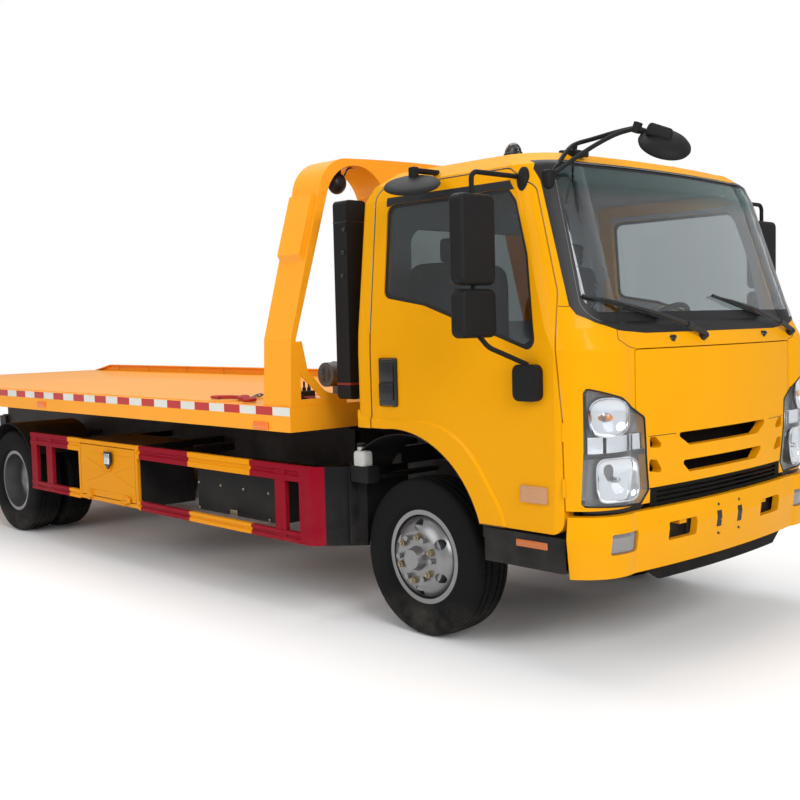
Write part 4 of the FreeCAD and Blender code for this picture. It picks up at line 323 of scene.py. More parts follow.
for side, word in SIDES:
    for node, body, x, places in (("tyre_front_", "wheel_front_", FRONT_AXLE_X, (0.8325,)),
                                  ("tyres_rear_", "wheels_rear_", REAR_AXLE_X, (0.9325, 0.6615))):
        wheel = bmesh.new()
        for y in places:
            one = bmesh.new()
            tyre_shape(one, (x, side * y, AXLE_Z))
            bmesh.ops.recalc_face_normals(one, faces=one.faces)
            join(wheel, one)
        tyre = piece("tread_" + node + word, wheel, body + word, tyre_rubber, sharp=50)
        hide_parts(node + word)

# Wheels
# Pressed steel discs and rims in silver paint, six hexagon nuts with their stud ends, and a grease cap.
dress(coloured("wheel_silver", (0.23, 0.23, 0.235), 0.30, grain=(700, 0.05), dust=(0.7, 0.16, 8.0), metal=0.8,
               coat=0.1),
      "rim_front_right", "rim_front_left", "rims_rear_right", "rims_rear_left")
NUT_CIRCLE, NUT_TURN = 0.111, radians(22)
nut_steel = coloured("nut_steel", (0.30, 0.25, 0.17), 0.35, grain=(600, 0.2), dust=(0.7, 0.2, 9.0), metal=0.9)


def along_y(shape, radius, taper, y0, y1, x, z, segments):
    """A round or hexagonal bar that lies across the truck."""
    made = bmesh.ops.create_cone(shape, cap_ends=True, segments=segments, radius1=radius, radius2=radius * taper,
                                 depth=abs(y1 - y0))
    lie = Matrix.Rotation(radians(90 if y1 < y0 else -90), 4, "X")
    bmesh.ops.transform(shape, matrix=Matrix.Translation((x, (y0 + y1) / 2, z)) @ lie, verts=made["verts"])


for side, word in SIDES:
    for x, face, body in ((FRONT_AXLE_X, 0.968, "wheel_front_"), (REAR_AXLE_X, 0.811, "wheels_rear_")):
        nuts = bmesh.new()
        for i in range(6):
            angle = i * pi / 3 + NUT_TURN
            nut_x, nut_z = x + NUT_CIRCLE * cos(angle), AXLE_Z + NUT_CIRCLE * sin(angle)
            # washer, hexagon and stud end
            for radius, taper, near, far, segments in ((0.021, 1.0, 0, 0.004, 24), (0.0185, 0.94, 0.003, 0.022, 6),
                                                       (0.0105, 0.8, 0.020, 0.031, 16)):
                along_y(nuts, radius, taper, side * (face + near), side * (face + far), nut_x, nut_z, segments)
        bmesh.ops.bevel(nuts, geom=[e for e in nuts.edges if e.calc_length() > 0.012 and len(e.link_faces) == 2
                                    and e.calc_face_angle(0) > 0.6], offset=0.0012, segments=2, affect="EDGES",
                        profile=0.5, material=-1)
        piece("wheel_nuts_" + body + word, nuts, body + word, nut_steel)

# Sliding deck and its arch
# Folded and welded steel sheet in a warm orange yellow, paler where the sky shines on the floor plates.
dress(coloured("deck_yellow", (0.86, 0.33, 0.010), 0.40, grain=(300, 0.08), dust=(0.9, 0.1, 3.0), coat=0.15,
               vary=0.05, gloss=0.2),
      "deck", "deck_curb", "arch", "tilt_frame")

# Hydraulic cylinders
# Black painted barrels and hard chrome rods.
dress(coloured("barrel_black", (0.018, 0.018, 0.02), 0.4, grain=(300, 0.1), dust=(1.0, 0.3, 5.0)),
      "slide_barrel", "tilt_barrels")
dress(coloured("rod_chrome", (0.72, 0.73, 0.75), 0.12, grain=(900, 0.02), dust=(1.0, 0.1, 6.0), metal=1.0, vary=0.03),
      "slide_rod", "tilt_rods")

# Winch
# A steel drum and side plates, dull and a little greasy.
winch_steel = coloured("winch_steel", (0.10, 0.10, 0.105), 0.48, grain=(200, 0.25), dust=(1.4, 0.2, 6.0), metal=0.6)
dress(winch_steel, "winch")

# Side guards
# Rolled steel rails along both sides, sprayed crimson with golden fields that meet the golden toolbox.
CRIMSON, GOLDEN = (0.23, 0.002, 0.012, 1), (0.72, 0.27, 0.002, 1)
FIELDS_FROM, FIELDS_REACH = -1.0, 4.0


def black_inside(finish, start, stop):
    """Turns a finish black nearer the truck's middle than start. Socket B of the last node is its colour past stop."""
    tree = finish.node_tree
    place, split = add_node(tree, "TexCoord"), add_node(tree, "SeparateXYZ")
    side = add_node(tree, "Math", operation="ABSOLUTE")
    face = add_node(tree, "MapRange", {"From Min": start, "From Max": stop})
    mix = add_node(tree, "Mix", data_type="RGBA")
    mix.inputs["A"].default_value = (0.010, 0.010, 0.011, 1)
    wire(tree, (place, "Object", split, "Vector"), (split, "Y", side, 0), (side, "Value", face, "Value"),
         (face, "Result", mix, "Factor"), (mix, "Result", tree.nodes["dust_over"], "A"))
    return split, mix


guard_colours = coloured("guard_colours", CRIMSON[:3], 0.45, grain=(300, 0.06), dust=(0.8, 0.12, 5.0), vary=0.08,
                         gloss=0.05)
guard_split, guard_mix = black_inside(guard_colours, 1.050, 1.056)
guard_along = add_node(guard_colours.node_tree, "MapRange",
                       {"From Min": FIELDS_FROM, "From Max": FIELDS_FROM + FIELDS_REACH})
guard_fields = add_node(guard_colours.node_tree, "ValToRGB")
field_ramp = guard_fields.color_ramp
field_ramp.interpolation = "CONSTANT"
field_ramp.elements[0].color = CRIMSON
field_ramp.elements[1].position, field_ramp.elements[1].color = (-0.228 - FIELDS_FROM) / FIELDS_REACH, GOLDEN
for start, colour in ((0.76, CRIMSON), (1.341, GOLDEN), (1.983, CRIMSON)):
    field_ramp.elements.new((start - FIELDS_FROM) / FIELDS_REACH).color = colour
wire(guard_colours.node_tree, (guard_split, "X", guard_along, "Value"), (guard_along, "Result", guard_fields, "Fac"),
     (guard_fields, "Color", guard_mix, "B"))
dress(guard_colours, "side_guards")

# Toolboxes
# Golden doors in a golden frame; the box behind the frame is black.
box_yellow = coloured("box_yellow", (0.69, 0.26, 0.002), 0.45, grain=(300, 0.06), dust=(0.8, 0.1, 5.0), vary=0.05,
                      gloss=0.06)
dress(box_yellow, "toolbox_door_right", "toolbox_door_left")
box_shell = coloured("box_shell", (0.69, 0.26, 0.002), 0.45, grain=(300, 0.08), dust=(0.8, 0.1, 5.0), gloss=0.06)
black_inside(box_shell, 1.086, 1.090)[1].inputs["B"].default_value = (0.69, 0.26, 0.002, 1)
dress(box_shell, "toolbox_right", "toolbox_left")


# Marking tape, side lamps and curb joints
# Strips of pressed reflecting foil, red and white in turn, glued along both side plates; moulded amber lamps, and the
# thin joints between the lengths of the folded curb.
def block(shape, low, high, soft=0.0, steps=3):
    """A straight-sided body between two corners, with its edges rounded."""
    low, high = Vector(low), Vector(high)
    made = bmesh.ops.create_cube(shape, size=1.0)
    bmesh.ops.scale(shape, vec=high - low, verts=made["verts"])
    bmesh.ops.translate(shape, vec=(low + high) / 2, verts=made["verts"])
    if soft:
        edges = list({e for v in made["verts"] for e in v.link_edges})
        bmesh.ops.bevel(shape, geom=edges, offset=soft, segments=steps, profile=0.5, affect="EDGES", material=-1)


def side_block(shape, side, x0, x1, y0, y1, z0, z1, soft=0.0, steps=3):
    """The same on one side of the truck, with its depth counted outwards."""
    block(shape, (x0, min(side * y0, side * y1), z0), (x1, max(side * y0, side * y1), z1), soft, steps)


def fitting(name, body, slot_name, finish, *forms):
    """A piece made of simple forms, each given as its maker and what follows the shape in the maker's call."""
    shape = bmesh.new()
    for maker, *values in forms:
        maker(shape, *values)
    return piece(name, shape, body, finish)


tape_red = coloured("tape_red", (0.45, 0.012, 0.010), 0.25, grain=(600, 0.3), dust=(1.3, 0.15, 6.0), coat=0.5)
tape_pale = coloured("tape_pale", (0.66, 0.66, 0.60), 0.25, grain=(600, 0.3), dust=(1.3, 0.15, 6.0), coat=0.5)
lamp_amber = coloured("lamp_amber", (0.80, 0.16, 0.010), 0.2, grain=(500, 0.3), dust=(1.2, 0.1, 6.0), coat=0.6)
joint_dark = coloured("joint_dark", (0.05, 0.018, 0.004), 0.7, grain=(300, 0.2), dust=(1.4, 0.1, 6.0))
TAPE_PITCH, TAPE_GAP, TAPE_FRONT, TAPE_REAR = 0.1525, 0.003, 2.4240, -4.0
for side, word in SIDES:
    strips = {"red": bmesh.new(), "pale": bmesh.new()}
    start, row = TAPE_FRONT, 0
    while start - TAPE_PITCH > TAPE_REAR:
        side_block(strips["red" if row % 2 else "pale"], side, start - TAPE_PITCH + TAPE_GAP, start, 1.149, 1.1508,
                   1.082, 1.128)
        start, row = start - TAPE_PITCH, row + 1
    piece("deck_tape_red_" + word, strips["red"], "deck", tape_red)
    piece("deck_tape_pale_" + word, strips["pale"], "deck", tape_pale)
    fitting("deck_side_lamps_" + word, "deck", "red_lens", lamp_amber,
            *[(side_block, side, x0, x1, 1.148, 1.160, z0, z1, 0.005) for x0, x1, z0, z1 in (
                (2.101, 2.237, 1.001, 1.043), (-0.570, -0.443, 1.020, 1.060), (-3.300, -3.170, 1.020, 1.060))])
fitting("curb_joints", "deck", "deck_paint", joint_dark,
        *[(block, (x - 0.0015, 1.1072, 1.135), (x + 0.0015, 1.109, 1.196))
          for x in (-3.449, -2.836, -2.126, -1.489, -0.720, 0.043, 0.890, 1.620)])

# Load hooks and chain
# Forged hooks painted red and a short welded chain, laid ready on the floor behind the arch.
def tube(shape, points, radius, closed=False, order=3, fine=3):
    """A smooth round bar along a few points."""
    line = bpy.data.curves.new("bar_line", "CURVE")
    line.dimensions = "3D"
    line.bevel_depth, line.bevel_resolution, line.resolution_u, line.use_fill_caps = radius, fine, 6, not closed
    run = line.splines.new("NURBS")
    run.points.add(len(points) - 1)
    for spot, point in zip(run.points, points):
        spot.co = (*point, 1)
    run.order_u, run.use_endpoint_u, run.use_cyclic_u = order, not closed, closed
    holder = bpy.data.objects.new("bar_line", line)
    made = bpy.data.meshes.new_from_object(holder)
    shape.from_mesh(made)
    bpy.data.objects.remove(holder)
    bpy.data.curves.remove(line)
    bpy.data.meshes.remove(made)


hook_red = coloured("hook_red", (0.36, 0.012, 0.012), 0.45, grain=(260, 0.4), dust=(1.5, 0.3, 9.0))
chain_steel = coloured("chain_steel", (0.22, 0.20, 0.18), 0.42, grain=(300, 0.4), dust=(1.5, 0.3, 9.0), metal=0.8)
hooks = bmesh.new()
for x, y, bend in ((1.62, -0.965, 1), (1.86, -1.01, -1)):
    tube(hooks, [(x + dx, y + dy * bend, z) for dx, dy, z in
                 ((-0.10, -0.035, 1.148), (-0.05, -0.02, 1.148), (0.02, 0, 1.150), (0.085, 0.005, 1.148),
                  (0.095, 0.062, 1.148), (0.045, 0.075, 1.148), (0.030, 0.050, 1.148))], 0.0115)
    tube(hooks, [(x - 0.10 + 0.030 * cos(k * pi / 4), y - 0.035 * bend + 0.030 * sin(k * pi / 4), 1.148)
                 for k in range(8)], 0.009, closed=True)
piece("load_hooks", hooks, "deck", hook_red)
chain = bmesh.new()
chain_run = [Vector(p) for p in ((1.790, -0.925, 1.146), (1.700, -0.860, 1.146), (1.600, -0.760, 1.146),
                                 (1.610, -0.640, 1.146), (1.690, -0.570, 1.146), (1.760, -0.500, 1.146))]
LINK_PITCH, LINK_HALF_LONG, LINK_HALF_WIDE = 0.030, 0.018, 0.011
link_row, gone = 0, 0.0
for a, b in zip(chain_run, chain_run[1:]):
    reach = (b - a).length
    while gone < reach:
        middle = a + (b - a) * gone / reach
        along = (b - a).normalized()
        across = along.cross(Vector((0, 0, 1)))
        lean = across if link_row % 2 == 0 else (across * 0.6 + Vector((0, 0, 0.8))).normalized()
        tube(chain, [middle + along * LINK_HALF_LONG * sx + lean * LINK_HALF_WIDE * sy for sx, sy in
                     ((1, 0.6), (1.25, 0), (1, -0.6), (0, -1), (-1, -0.6), (-1.25, 0), (-1, 0.6), (0, 1))],
             0.0038, closed=True, fine=1)
        gone, link_row = gone + LINK_PITCH, link_row + 1
    gone -= reach
piece("load_chain", chain, "deck", chain_steel)

# Winch rope and control valve
# Steel rope wound on the drum, and a black valve block with two red steel pipes clipped to the floor.
def turned(shape, profile, centre, axis, segments=32, squeeze=(1, 1)):
    """A round form: the profile gives the distance along the axis and the radius there."""
    one = bmesh.new()
    row = [one.verts.new((radius, 0, along)) for along, radius in profile]
    edges = [one.edges.new((a, b)) for a, b in zip(row, row[1:])]
    bmesh.ops.spin(one, geom=row + edges, cent=(0, 0, 0), axis=(0, 0, 1), angle=2 * pi, steps=segments, use_merge=True)
    bmesh.ops.remove_doubles(one, verts=one.verts, dist=0.00001)
    bmesh.ops.recalc_face_normals(one, faces=one.faces)
    bmesh.ops.scale(one, vec=(squeeze[0], squeeze[1], 1), verts=one.verts)
    lie = Vector((0, 0, 1)).rotation_difference(Vector(axis).normalized()).to_matrix().to_4x4()
    bmesh.ops.transform(one, matrix=Matrix.Translation(centre) @ lie, verts=one.verts)
    join(shape, one)


DRUM_X, DRUM_Z, ROPE_TURNS, ROPE_PITCH = 1.8525, 1.259, 42, 0.012
rope_row = [(-0.250, 0.070)]
for turn_count in range(ROPE_TURNS):
    along = -0.250 + turn_count * ROPE_PITCH
    rope_row += [(along, 0.0765), (along + 0.003, 0.0825), (along + 0.0065, 0.0845), (along + 0.0095, 0.0825)]
rope_row += [(0.254, 0.0765), (0.254, 0.070), (-0.250, 0.070)]
fitting("winch_rope", "deck", "steel", chain_steel, (turned, rope_row, (DRUM_X, 0, DRUM_Z), (0, 1, 0), 40))
fitting("winch_flanges", "deck", "steel", winch_steel,
        *[(turned, [(0, 0), (0, 0.112), (0.004, 0.115), (0.010, 0.112), (0.010, 0)],
           (DRUM_X, side * 0.250, DRUM_Z), (0, -side, 0), 40) for side in (-1, 1)],
        (turned, [(0, 0), (0, 0.062), (0.012, 0.066), (0.120, 0.066), (0.128, 0.058), (0.146, 0.058), (0.152, 0.050),
                  (0.152, 0)], (DRUM_X, -0.272, DRUM_Z), (0, -1, 0), 32),
        *[(turned, [(0, 0), (0, 0.009), (0.008, 0.009), (0.009, 0)],
           (DRUM_X + 0.055 * cos(k * pi / 3), 0.274, DRUM_Z + 0.055 * sin(k * pi / 3)), (0, 1, 0), 6)
          for k in range(6)])
valve_black = coloured("valve_black", (0.014, 0.014, 0.015), 0.4, grain=(500, 0.3), dust=(1.5, 0.2, 8.0))
VALVES_Y = (-0.835, -0.800, -0.765)
fitting("deck_valve", "deck", "black_plastic", valve_black,
        (block, (2.085, -0.860, 1.1305), (2.140, -0.740, 1.190), 0.005),
        *[(turned, [(0, 0), (0, 0.011), (0.020, 0.011), (0.022, 0.006), (0.055, 0.006), (0.056, 0)], (2.112, y, 1.188),
           (0, 0, 1), 16) for y in VALVES_Y],
        *[(turned, [(0, 0), (0, 0.010), (0.016, 0.010), (0.016, 0)], (2.139, y, 1.158), (1, 0, 0), 6)
          for y in VALVES_Y])
pipe_red = coloured("pipe_red", (0.20, 0.012, 0.008), 0.4, grain=(400, 0.2), dust=(1.5, 0.2, 8.0))
fitting("deck_pipes", "deck", "steel", pipe_red,
        *[(tube, [(2.150, y, 1.158), (2.190, y, 1.158), (2.220, y, 1.145), (2.260, y, 1.141), (2.330, y, 1.141),
                  (2.400, y, 1.141)], 0.0062) for y in VALVES_Y[:2]],
        *[(block, (x, -0.855, 1.1305), (x + 0.018, -0.782, 1.150), 0.003) for x in (2.290, 2.385)])

# Work lamp under the arch
# A round black lamp with a clear front that looks back over the deck, hung from the arch by a short strap.
lamp_black = coloured("lamp_black", (0.010, 0.010, 0.011), 0.35, grain=(700, 0.2), dust=(2.0, 0.02, 6.0))
fitting("arch_work_lamps", "deck", "black_plastic", lamp_black,
        (turned, [(0.030, 0), (0.030, 0.024), (0.022, 0.040), (0.004, 0.055), (-0.012, 0.0625), (-0.024, 0.0625),
                  (-0.026, 0.058), (-0.022, 0.056), (-0.018, 0)], (2.305, -0.664, 2.357), (1, 0, 0), 40),
        (block, (2.285, -0.678, 2.395), (2.315, -0.650, 2.452), 0.003),
        (tube, [(2.332, -0.664, 2.365), (2.345, -0.650, 2.395), (2.350, -0.636, 2.432), (2.350, -0.600, 2.441),
                (2.350, -0.463, 2.449)], 0.0045))

# Cab body
# Pressed steel panels in golden yellow two-layer paint with a clear coat.
dress(coloured("cab_yellow", (0.70, 0.300, 0.001), 0.34, grain=(300, 0.03), dust=(0.75, 0.08, 3.0), coat=0.10,
               vary=0.03, gloss=0.03),
      "cab_shell", "front_panel", "front_bumper", "door_right", "door_left")
moulded_black = coloured("moulded_black", (0.009, 0.009, 0.0095), 0.5, grain=(1100, 0.4), dust=(0.8, 0.2, 6.0),
                         gloss=0.12)
dress(moulded_black, "air_duct", "steps", "front_mudguards", "rear_mudguards", "mirrors_right",
      "mirrors_left", "kerb_mirror", "look_down_mirror", "wipers", "steering_wheel")
dress(coloured("mesh_black", (0.005, 0.005, 0.005), 0.75, grain=(500, 0.5), dust=(0.8, 0.06, 6.0), gloss=0.1),
      "lower_grille", "radiator")

# Glass
# Laminated windscreen and tempered side panes.
def glazing(name, tint, rough=0.0, through=1.0, bend=1.45):
    """Clear or tinted glass or plastic; bend is its index of refraction."""
    pane = bpy.data.materials.new(name)
    pane.use_nodes = True
    shader = pane.node_tree.nodes["Principled BSDF"]
    shader.inputs["Base Color"].default_value = (*tint, 1)
    shader.inputs["Roughness"].default_value = rough
    shader.inputs["Transmission Weight"].default_value = through
    shader.inputs["IOR"].default_value = bend
    return pane


screen_glass = glazing("screen_glass", (0.80, 0.86, 0.86))
tree = screen_glass.node_tree
screen_place, screen_split = add_node(tree, "TexCoord"), add_node(tree, "SeparateXYZ")
screen_rise = add_node(tree, "MapRange", {"From Min": 2.09, "From Max": 2.16})
screen_tint = add_node(tree, "Mix", data_type="RGBA")
screen_tint.inputs["A"].default_value = (0.80, 0.84, 0.87, 1)
screen_tint.inputs["B"].default_value = (0.36, 0.58, 0.58, 1)
wire(tree, (screen_place, "Object", screen_split, "Vector"), (screen_split, "Z", screen_rise, "Value"),
     (screen_rise, "Result", screen_tint, "Factor"),
     (screen_tint, "Result", tree.nodes["Principled BSDF"], "Base Color"))
dress(screen_glass, "windscreen")
dress(glazing("side_glass", (0.30, 0.33, 0.33)), "rear_window", "door_glass_right", "door_glass_left")
lamp_glass = glazing("lamp_glass", (0.9, 0.92, 0.94))
dress(lamp_glass, "headlamps")
dress(coloured("fog_lens", (0.26, 0.255, 0.25), 0.24, grain=(500, 0.05), dust=(0.62, 0.1, 6.0), metal=0.7),
      "fog_lamps")
tail_red = coloured("tail_red", (0.42, 0.010, 0.006), 0.2, grain=(300, 0.1), dust=(0.7, 0.2, 6.0), coat=0.6)
dress(tail_red, "tail_lamps")

# Inside the cab
# Woven seats and a moulded dashboard in greys.
seat_cloth = coloured("seat_cloth", (0.10, 0.10, 0.11), 0.9, grain=(1500, 0.8), dust=(0.1, 0.0, 5.0))
dress(seat_cloth, "seats")
dash_grey = coloured("dash_grey", (0.09, 0.088, 0.085), 0.6, grain=(1200, 0.4), dust=(0.1, 0.0, 5.0))
dress(dash_grey, "dashboard")

# Windscreen border and side window seals
# Black ceramic edge and rubber seal, cut from the panes' own outer faces so that they follow the glass.
# black for the seals, also used for the painted shade in panel gaps, door gaps and the bumper's openings
seal_and_shade_black = coloured("seal_and_shade_black", (0.010, 0.010, 0.011), 0.42, grain=(700, 0.2), dust=(0.8, 0.05, 5.0))


def drop_faces(skin, unwanted):
    """Deletes the faces whose normal and middle the test takes as unwanted."""
    bmesh.ops.delete(skin, geom=[f for f in skin.faces if unwanted(f.normal, f.calc_center_median())],
                     context="FACES")


def skin_copy(node, facing, least):
    """A merged copy of those faces of a CAD piece that look one way."""
    skin = bmesh.new()
    skin.from_mesh(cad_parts[node].data)
    bmesh.ops.remove_doubles(skin, verts=skin.verts, dist=0.00005)
    look = Vector(facing).normalized()
    drop_faces(skin, lambda normal, middle: normal.dot(look) < least)
    return skin


def trimmed(skin, *planes):
    """Keeps what lies behind every plane, each given as a point and the direction that is cut away."""
    for point, out in planes:
        bmesh.ops.bisect_plane(skin, geom=skin.verts[:] + skin.edges[:] + skin.faces[:], plane_co=point, plane_no=out,
                               clear_outer=True)
    return skin


def thickened(skin, lift, thick):
    """A skin lifted off its surface and given a wall."""
    skin.normal_update()
    for vert in skin.verts:
        vert.co += vert.normal * lift
    bmesh.ops.solidify(skin, geom=skin.faces[:], thickness=thick)
    return skin


def off_line(spot, a, b):
    """Distance of a flat point from the line piece a to b."""
    run = b - a
    share = max(0.0, min(1.0, (spot - a).dot(run) / run.length_squared))
    return (spot - a - run * share).length


def edge_of_pane(node, name, body, corners, flat_axes, outward, margins, bend):
    """The rim of a pane's outer face as a thin band, as wide at each edge as margins says, with round inner corners."""
    first, second = flat_axes
    flat = [Vector(c) for c in corners]
    count = len(flat)
    turning = sum((flat[i] - flat[i - 1]).cross(flat[(i + 1) % count] - flat[i]) for i in range(count))
    outs, cuts, rounds = [], [], []
    for i, corner in enumerate(flat):
        run = (flat[(i + 1) % count] - corner).normalized()
        outs.append(Vector((run.y, -run.x)) * (1 if turning > 0 else -1))
        cuts.append((corner - outs[i] * margins[i], outs[i]))
    for i, corner in enumerate(flat):
        before, after = outs[i - 1], outs[i]
        if before.cross(after) * (1 if turning > 0 else -1) < 0.15:
            continue
        share = before.dot(after)
        depth_a = (margins[i - 1] - share * margins[i]) / (1 - share * share)
        depth_b = (margins[i] - share * margins[i - 1]) / (1 - share * share)
        inside = corner - before * depth_a - after * depth_b
        for weight in (0.2, 0.4, 0.6, 0.8):
            out = (before * (1 - weight) + after * weight).normalized()
            rounds.append((inside - out * bend * ((before + after).dot(out) / (1 + share) - 1), out))
    band = skin_copy(node, outward, 0.25)

    def space(value):
        made = Vector((0, 0, 0))
        made[first], made[second] = value.x, value.y
        return made

    for point, out in cuts + rounds:
        bmesh.ops.bisect_plane(band, geom=band.verts[:] + band.edges[:] + band.faces[:], plane_co=space(point),
                               plane_no=space(out))

    def is_inner(normal, middle):
        spot = Vector((middle[first], middle[second]))
        deep = all(off_line(spot, flat[i], flat[(i + 1) % count]) > margins[i] - 0.0004 for i in range(count))
        return deep and all((spot - p).dot(out) < 0 for p, out in rounds)

    drop_faces(band, is_inner)
    piece(name, thickened(band, 0.0012, 0.003), body, seal_and_shade_black)


screen_corners = ((-0.925, 1.545), (0.925, 1.545), (0.850, 2.262), (-0.850, 2.262))
edge_of_pane("windscreen", "windscreen_border", "chassis", screen_corners, (1, 2), (1, 0, 0.3),
             (0.042, 0.022, 0.018, 0.022), 0.075)
# the border goes on over the body round the pane
screen_outline = ((-0.577, 1.4925), (0.577, 1.4925), (0.766, 1.509), (0.875, 1.542), (0.939, 1.579), (0.951, 1.619),
                  (0.903, 2.225), (0.880, 2.268), (-0.880, 2.268), (-0.903, 2.225), (-0.951, 1.619), (-0.939, 1.579),
                  (-0.875, 1.542), (-0.766, 1.509))
surround = skin_copy("cab_shell", (1, 0, 0.3), 0.16)
drop_faces(surround, lambda normal, middle: middle.x < 3.80)
trimmed(surround, *[(Vector((0, y0, z0)), Vector((0, z1 - z0, y0 - y1)))
                    for (y0, z0), (y1, z1) in zip(screen_outline, screen_outline[1:] + screen_outline[:1])])
piece("windscreen_surround", thickened(surround, 0.0008, 0.002), "chassis", seal_and_shade_black)
window_corners = ((3.0175, 1.689), (3.2975, 1.643), (3.8105, 1.476), (4.0005, 1.412), (3.9325, 1.846), (3.8545, 2.090),
                  (3.8075, 2.146), (3.0175, 2.146))
for side, word in SIDES:
    edge_of_pane("door_glass_" + word, "window_seal_" + word, "door_" + word, window_corners, (0, 2), (0, side, 0.1),
                 (0.017,) * 8, 0.045)

# Door handles, marker lamps and step reflectors
# A moulded black handle in a black pocket, a small clear lamp behind the arch and an amber reflector on the step.
marker_clear = glazing("marker_clear", (0.85, 0.74, 0.66), 0.08, 0.85, 1.5)
tree = marker_clear.node_tree
rib_place = add_node(tree, "TexCoord")
ribs = add_node(tree, "TexWave", {"Scale": 60})
rib_bump = add_node(tree, "Bump", {"Strength": 0.25, "Distance": 0.002})
wire(tree, (rib_place, "Object", ribs, "Vector"), (ribs, "Fac", rib_bump, "Height"),
     (rib_bump, "Normal", tree.nodes["Principled BSDF"], "Normal"))
amber_lens = coloured("amber_lens", (0.42, 0.10, 0.012), 0.25, grain=(300, 0.2), dust=(0.7, 0.1, 6.0), coat=0.6)
handle_black = coloured("handle_black", (0.008, 0.008, 0.009), 0.28, grain=(900, 0.15), dust=(0.7, 0.05, 6.0), coat=0.3)
for side, word in SIDES:
    fitting("door_handle_" + word, "door_" + word, "black_plastic", handle_black,
            (side_block, side, 2.998, 3.127, 1.016, 1.034, 1.152, 1.392, 0.012, 4),
            (side_block, side, 3.012, 3.112, 1.030, 1.046, 1.185, 1.268, 0.007, 4),
            (side_block, side, 3.012, 3.112, 1.030, 1.041, 1.275, 1.378, 0.004, 3))
    fitting("door_marker_" + word, "door_" + word, "lens", marker_clear,
            (side_block, side, 3.900, 4.050, 1.006, 1.030, 0.761, 0.838, 0.009, 4))
    fitting("step_reflector_" + word, "chassis", "red_lens", amber_lens,
            (side_block, side, 3.872, 4.048, 1.016, 1.026, 0.562, 0.594, 0.004, 3))

# Headlamps
# A thin clear polycarbonate lens bonded over a moulded tray that wraps the corner. In the tray sit an upper bowl with
# its amber bulb, a ribbed bar, and a lower squarish bowl with its own bulb, all metal-coated.
lamp_silver = coloured("lamp_silver", (0.46, 0.47, 0.49), 0.22, grain=(900, 0.05), dust=(0.4, 0.0, 5.0), metal=0.75)
tray_grey = coloured("tray_grey", (0.21, 0.205, 0.20), 0.35, grain=(900, 0.05), dust=(0.4, 0.0, 5.0), metal=0.5)
lamp_chrome = coloured("lamp_chrome", (0.80, 0.81, 0.83), 0.08, grain=(900, 0.02), dust=(0.4, 0.0, 5.0), metal=1.0,
                       vary=0.02)
lamp_dark = coloured("lamp_dark", (0.03, 0.03, 0.032), 0.3, grain=(900, 0.05), dust=(0.4, 0.0, 5.0))
bulb_amber = coloured("bulb_amber", (0.85, 0.28, 0.03), 0.15, grain=(900, 0.02), dust=(0.4, 0.0, 5.0), coat=0.6)
TRAY_DEPTH, BOWL_DEPTH, BOWL_SET_BACK = 0.044, 0.026, 0.016


def within(skin, **limits):
    """Keeps what lies between the low and high limit along each axis that is named."""
    for axis, (low, high) in limits.items():
        out = Vector([float(axis == one) for one in "xyz"])
        trimmed(skin, (out * high, out), (out * low, -out))
    return skin


def boundary_loops(skin, least):
    """The open borders of a skin as lists of points, those longer than least."""
    after = {}
    for edge in skin.edges:
        if edge.is_boundary:
            ends = tuple(edge.verts)
            for one, two in (ends, ends[::-1]):
                after.setdefault(one, []).append(two)
    loops, seen = [], set()
    for start in list(after):
        if start in seen:
            continue
        chain, last, here = [], None, start
        while here not in seen:
            seen.add(here)
            chain.append(here.co.copy())
            ahead = [v for v in after[here] if v is not last and v not in seen]
            if not ahead:
                break
            last, here = here, ahead[0]
        if sum((a - b).length for a, b in zip(chain, chain[1:] + chain[:1])) > least:
            slim = [chain[0]]
            for spot in chain[1:]:
                if (spot - slim[-1]).length > 0.004:
                    slim.append(spot)
            loops.append(slim)
    return loops


def bowl(shape, centre, axis, half_across, half_up, deep, square):
    """A reflector turned from its rim to its bottom, then drawn out to an oval or a rounded square."""
    one = bmesh.new()
    wall = [(0.0, 1.06), (0.0, 1.0)] + [(-sin(k * pi / 16), cos(k * pi / 16)) for k in range(1, 8)] + [(-1.0, 0.0)]
    row = [one.verts.new((radius, 0, along * deep)) for along, radius in wall]
    edges = [one.edges.new((a, b)) for a, b in zip(row, row[1:])]
    bmesh.ops.spin(one, geom=row + edges, cent=(0, 0, 0), axis=(0, 0, 1), angle=2 * pi, steps=56, use_merge=True)
    bmesh.ops.remove_doubles(one, verts=one.verts, dist=0.0001)
    for vert in one.verts:
        radius = sqrt(vert.co.x ** 2 + vert.co.y ** 2)
        if radius > 0.001:
            a, b = vert.co.x / radius, vert.co.y / radius
            stretch = radius / (abs(a) ** square + abs(b) ** square) ** (1 / square)
            vert.co.x, vert.co.y = a * stretch * half_across, b * stretch * half_up
    bmesh.ops.recalc_face_normals(one, faces=one.faces)
    bmesh.ops.solidify(one, geom=one.faces[:], thickness=0.0015)
    bmesh.ops.recalc_face_normals(one, faces=one.faces)
    out = Vector(axis).normalized()
    over = Vector((0, 0, 1)).cross(out).normalized()
    up = out.cross(over)
    lie = Matrix((over, up, out)).transposed().to_4x4()
    bmesh.ops.transform(one, matrix=Matrix.Translation(centre) @ lie, verts=one.verts)
    join(shape, one)


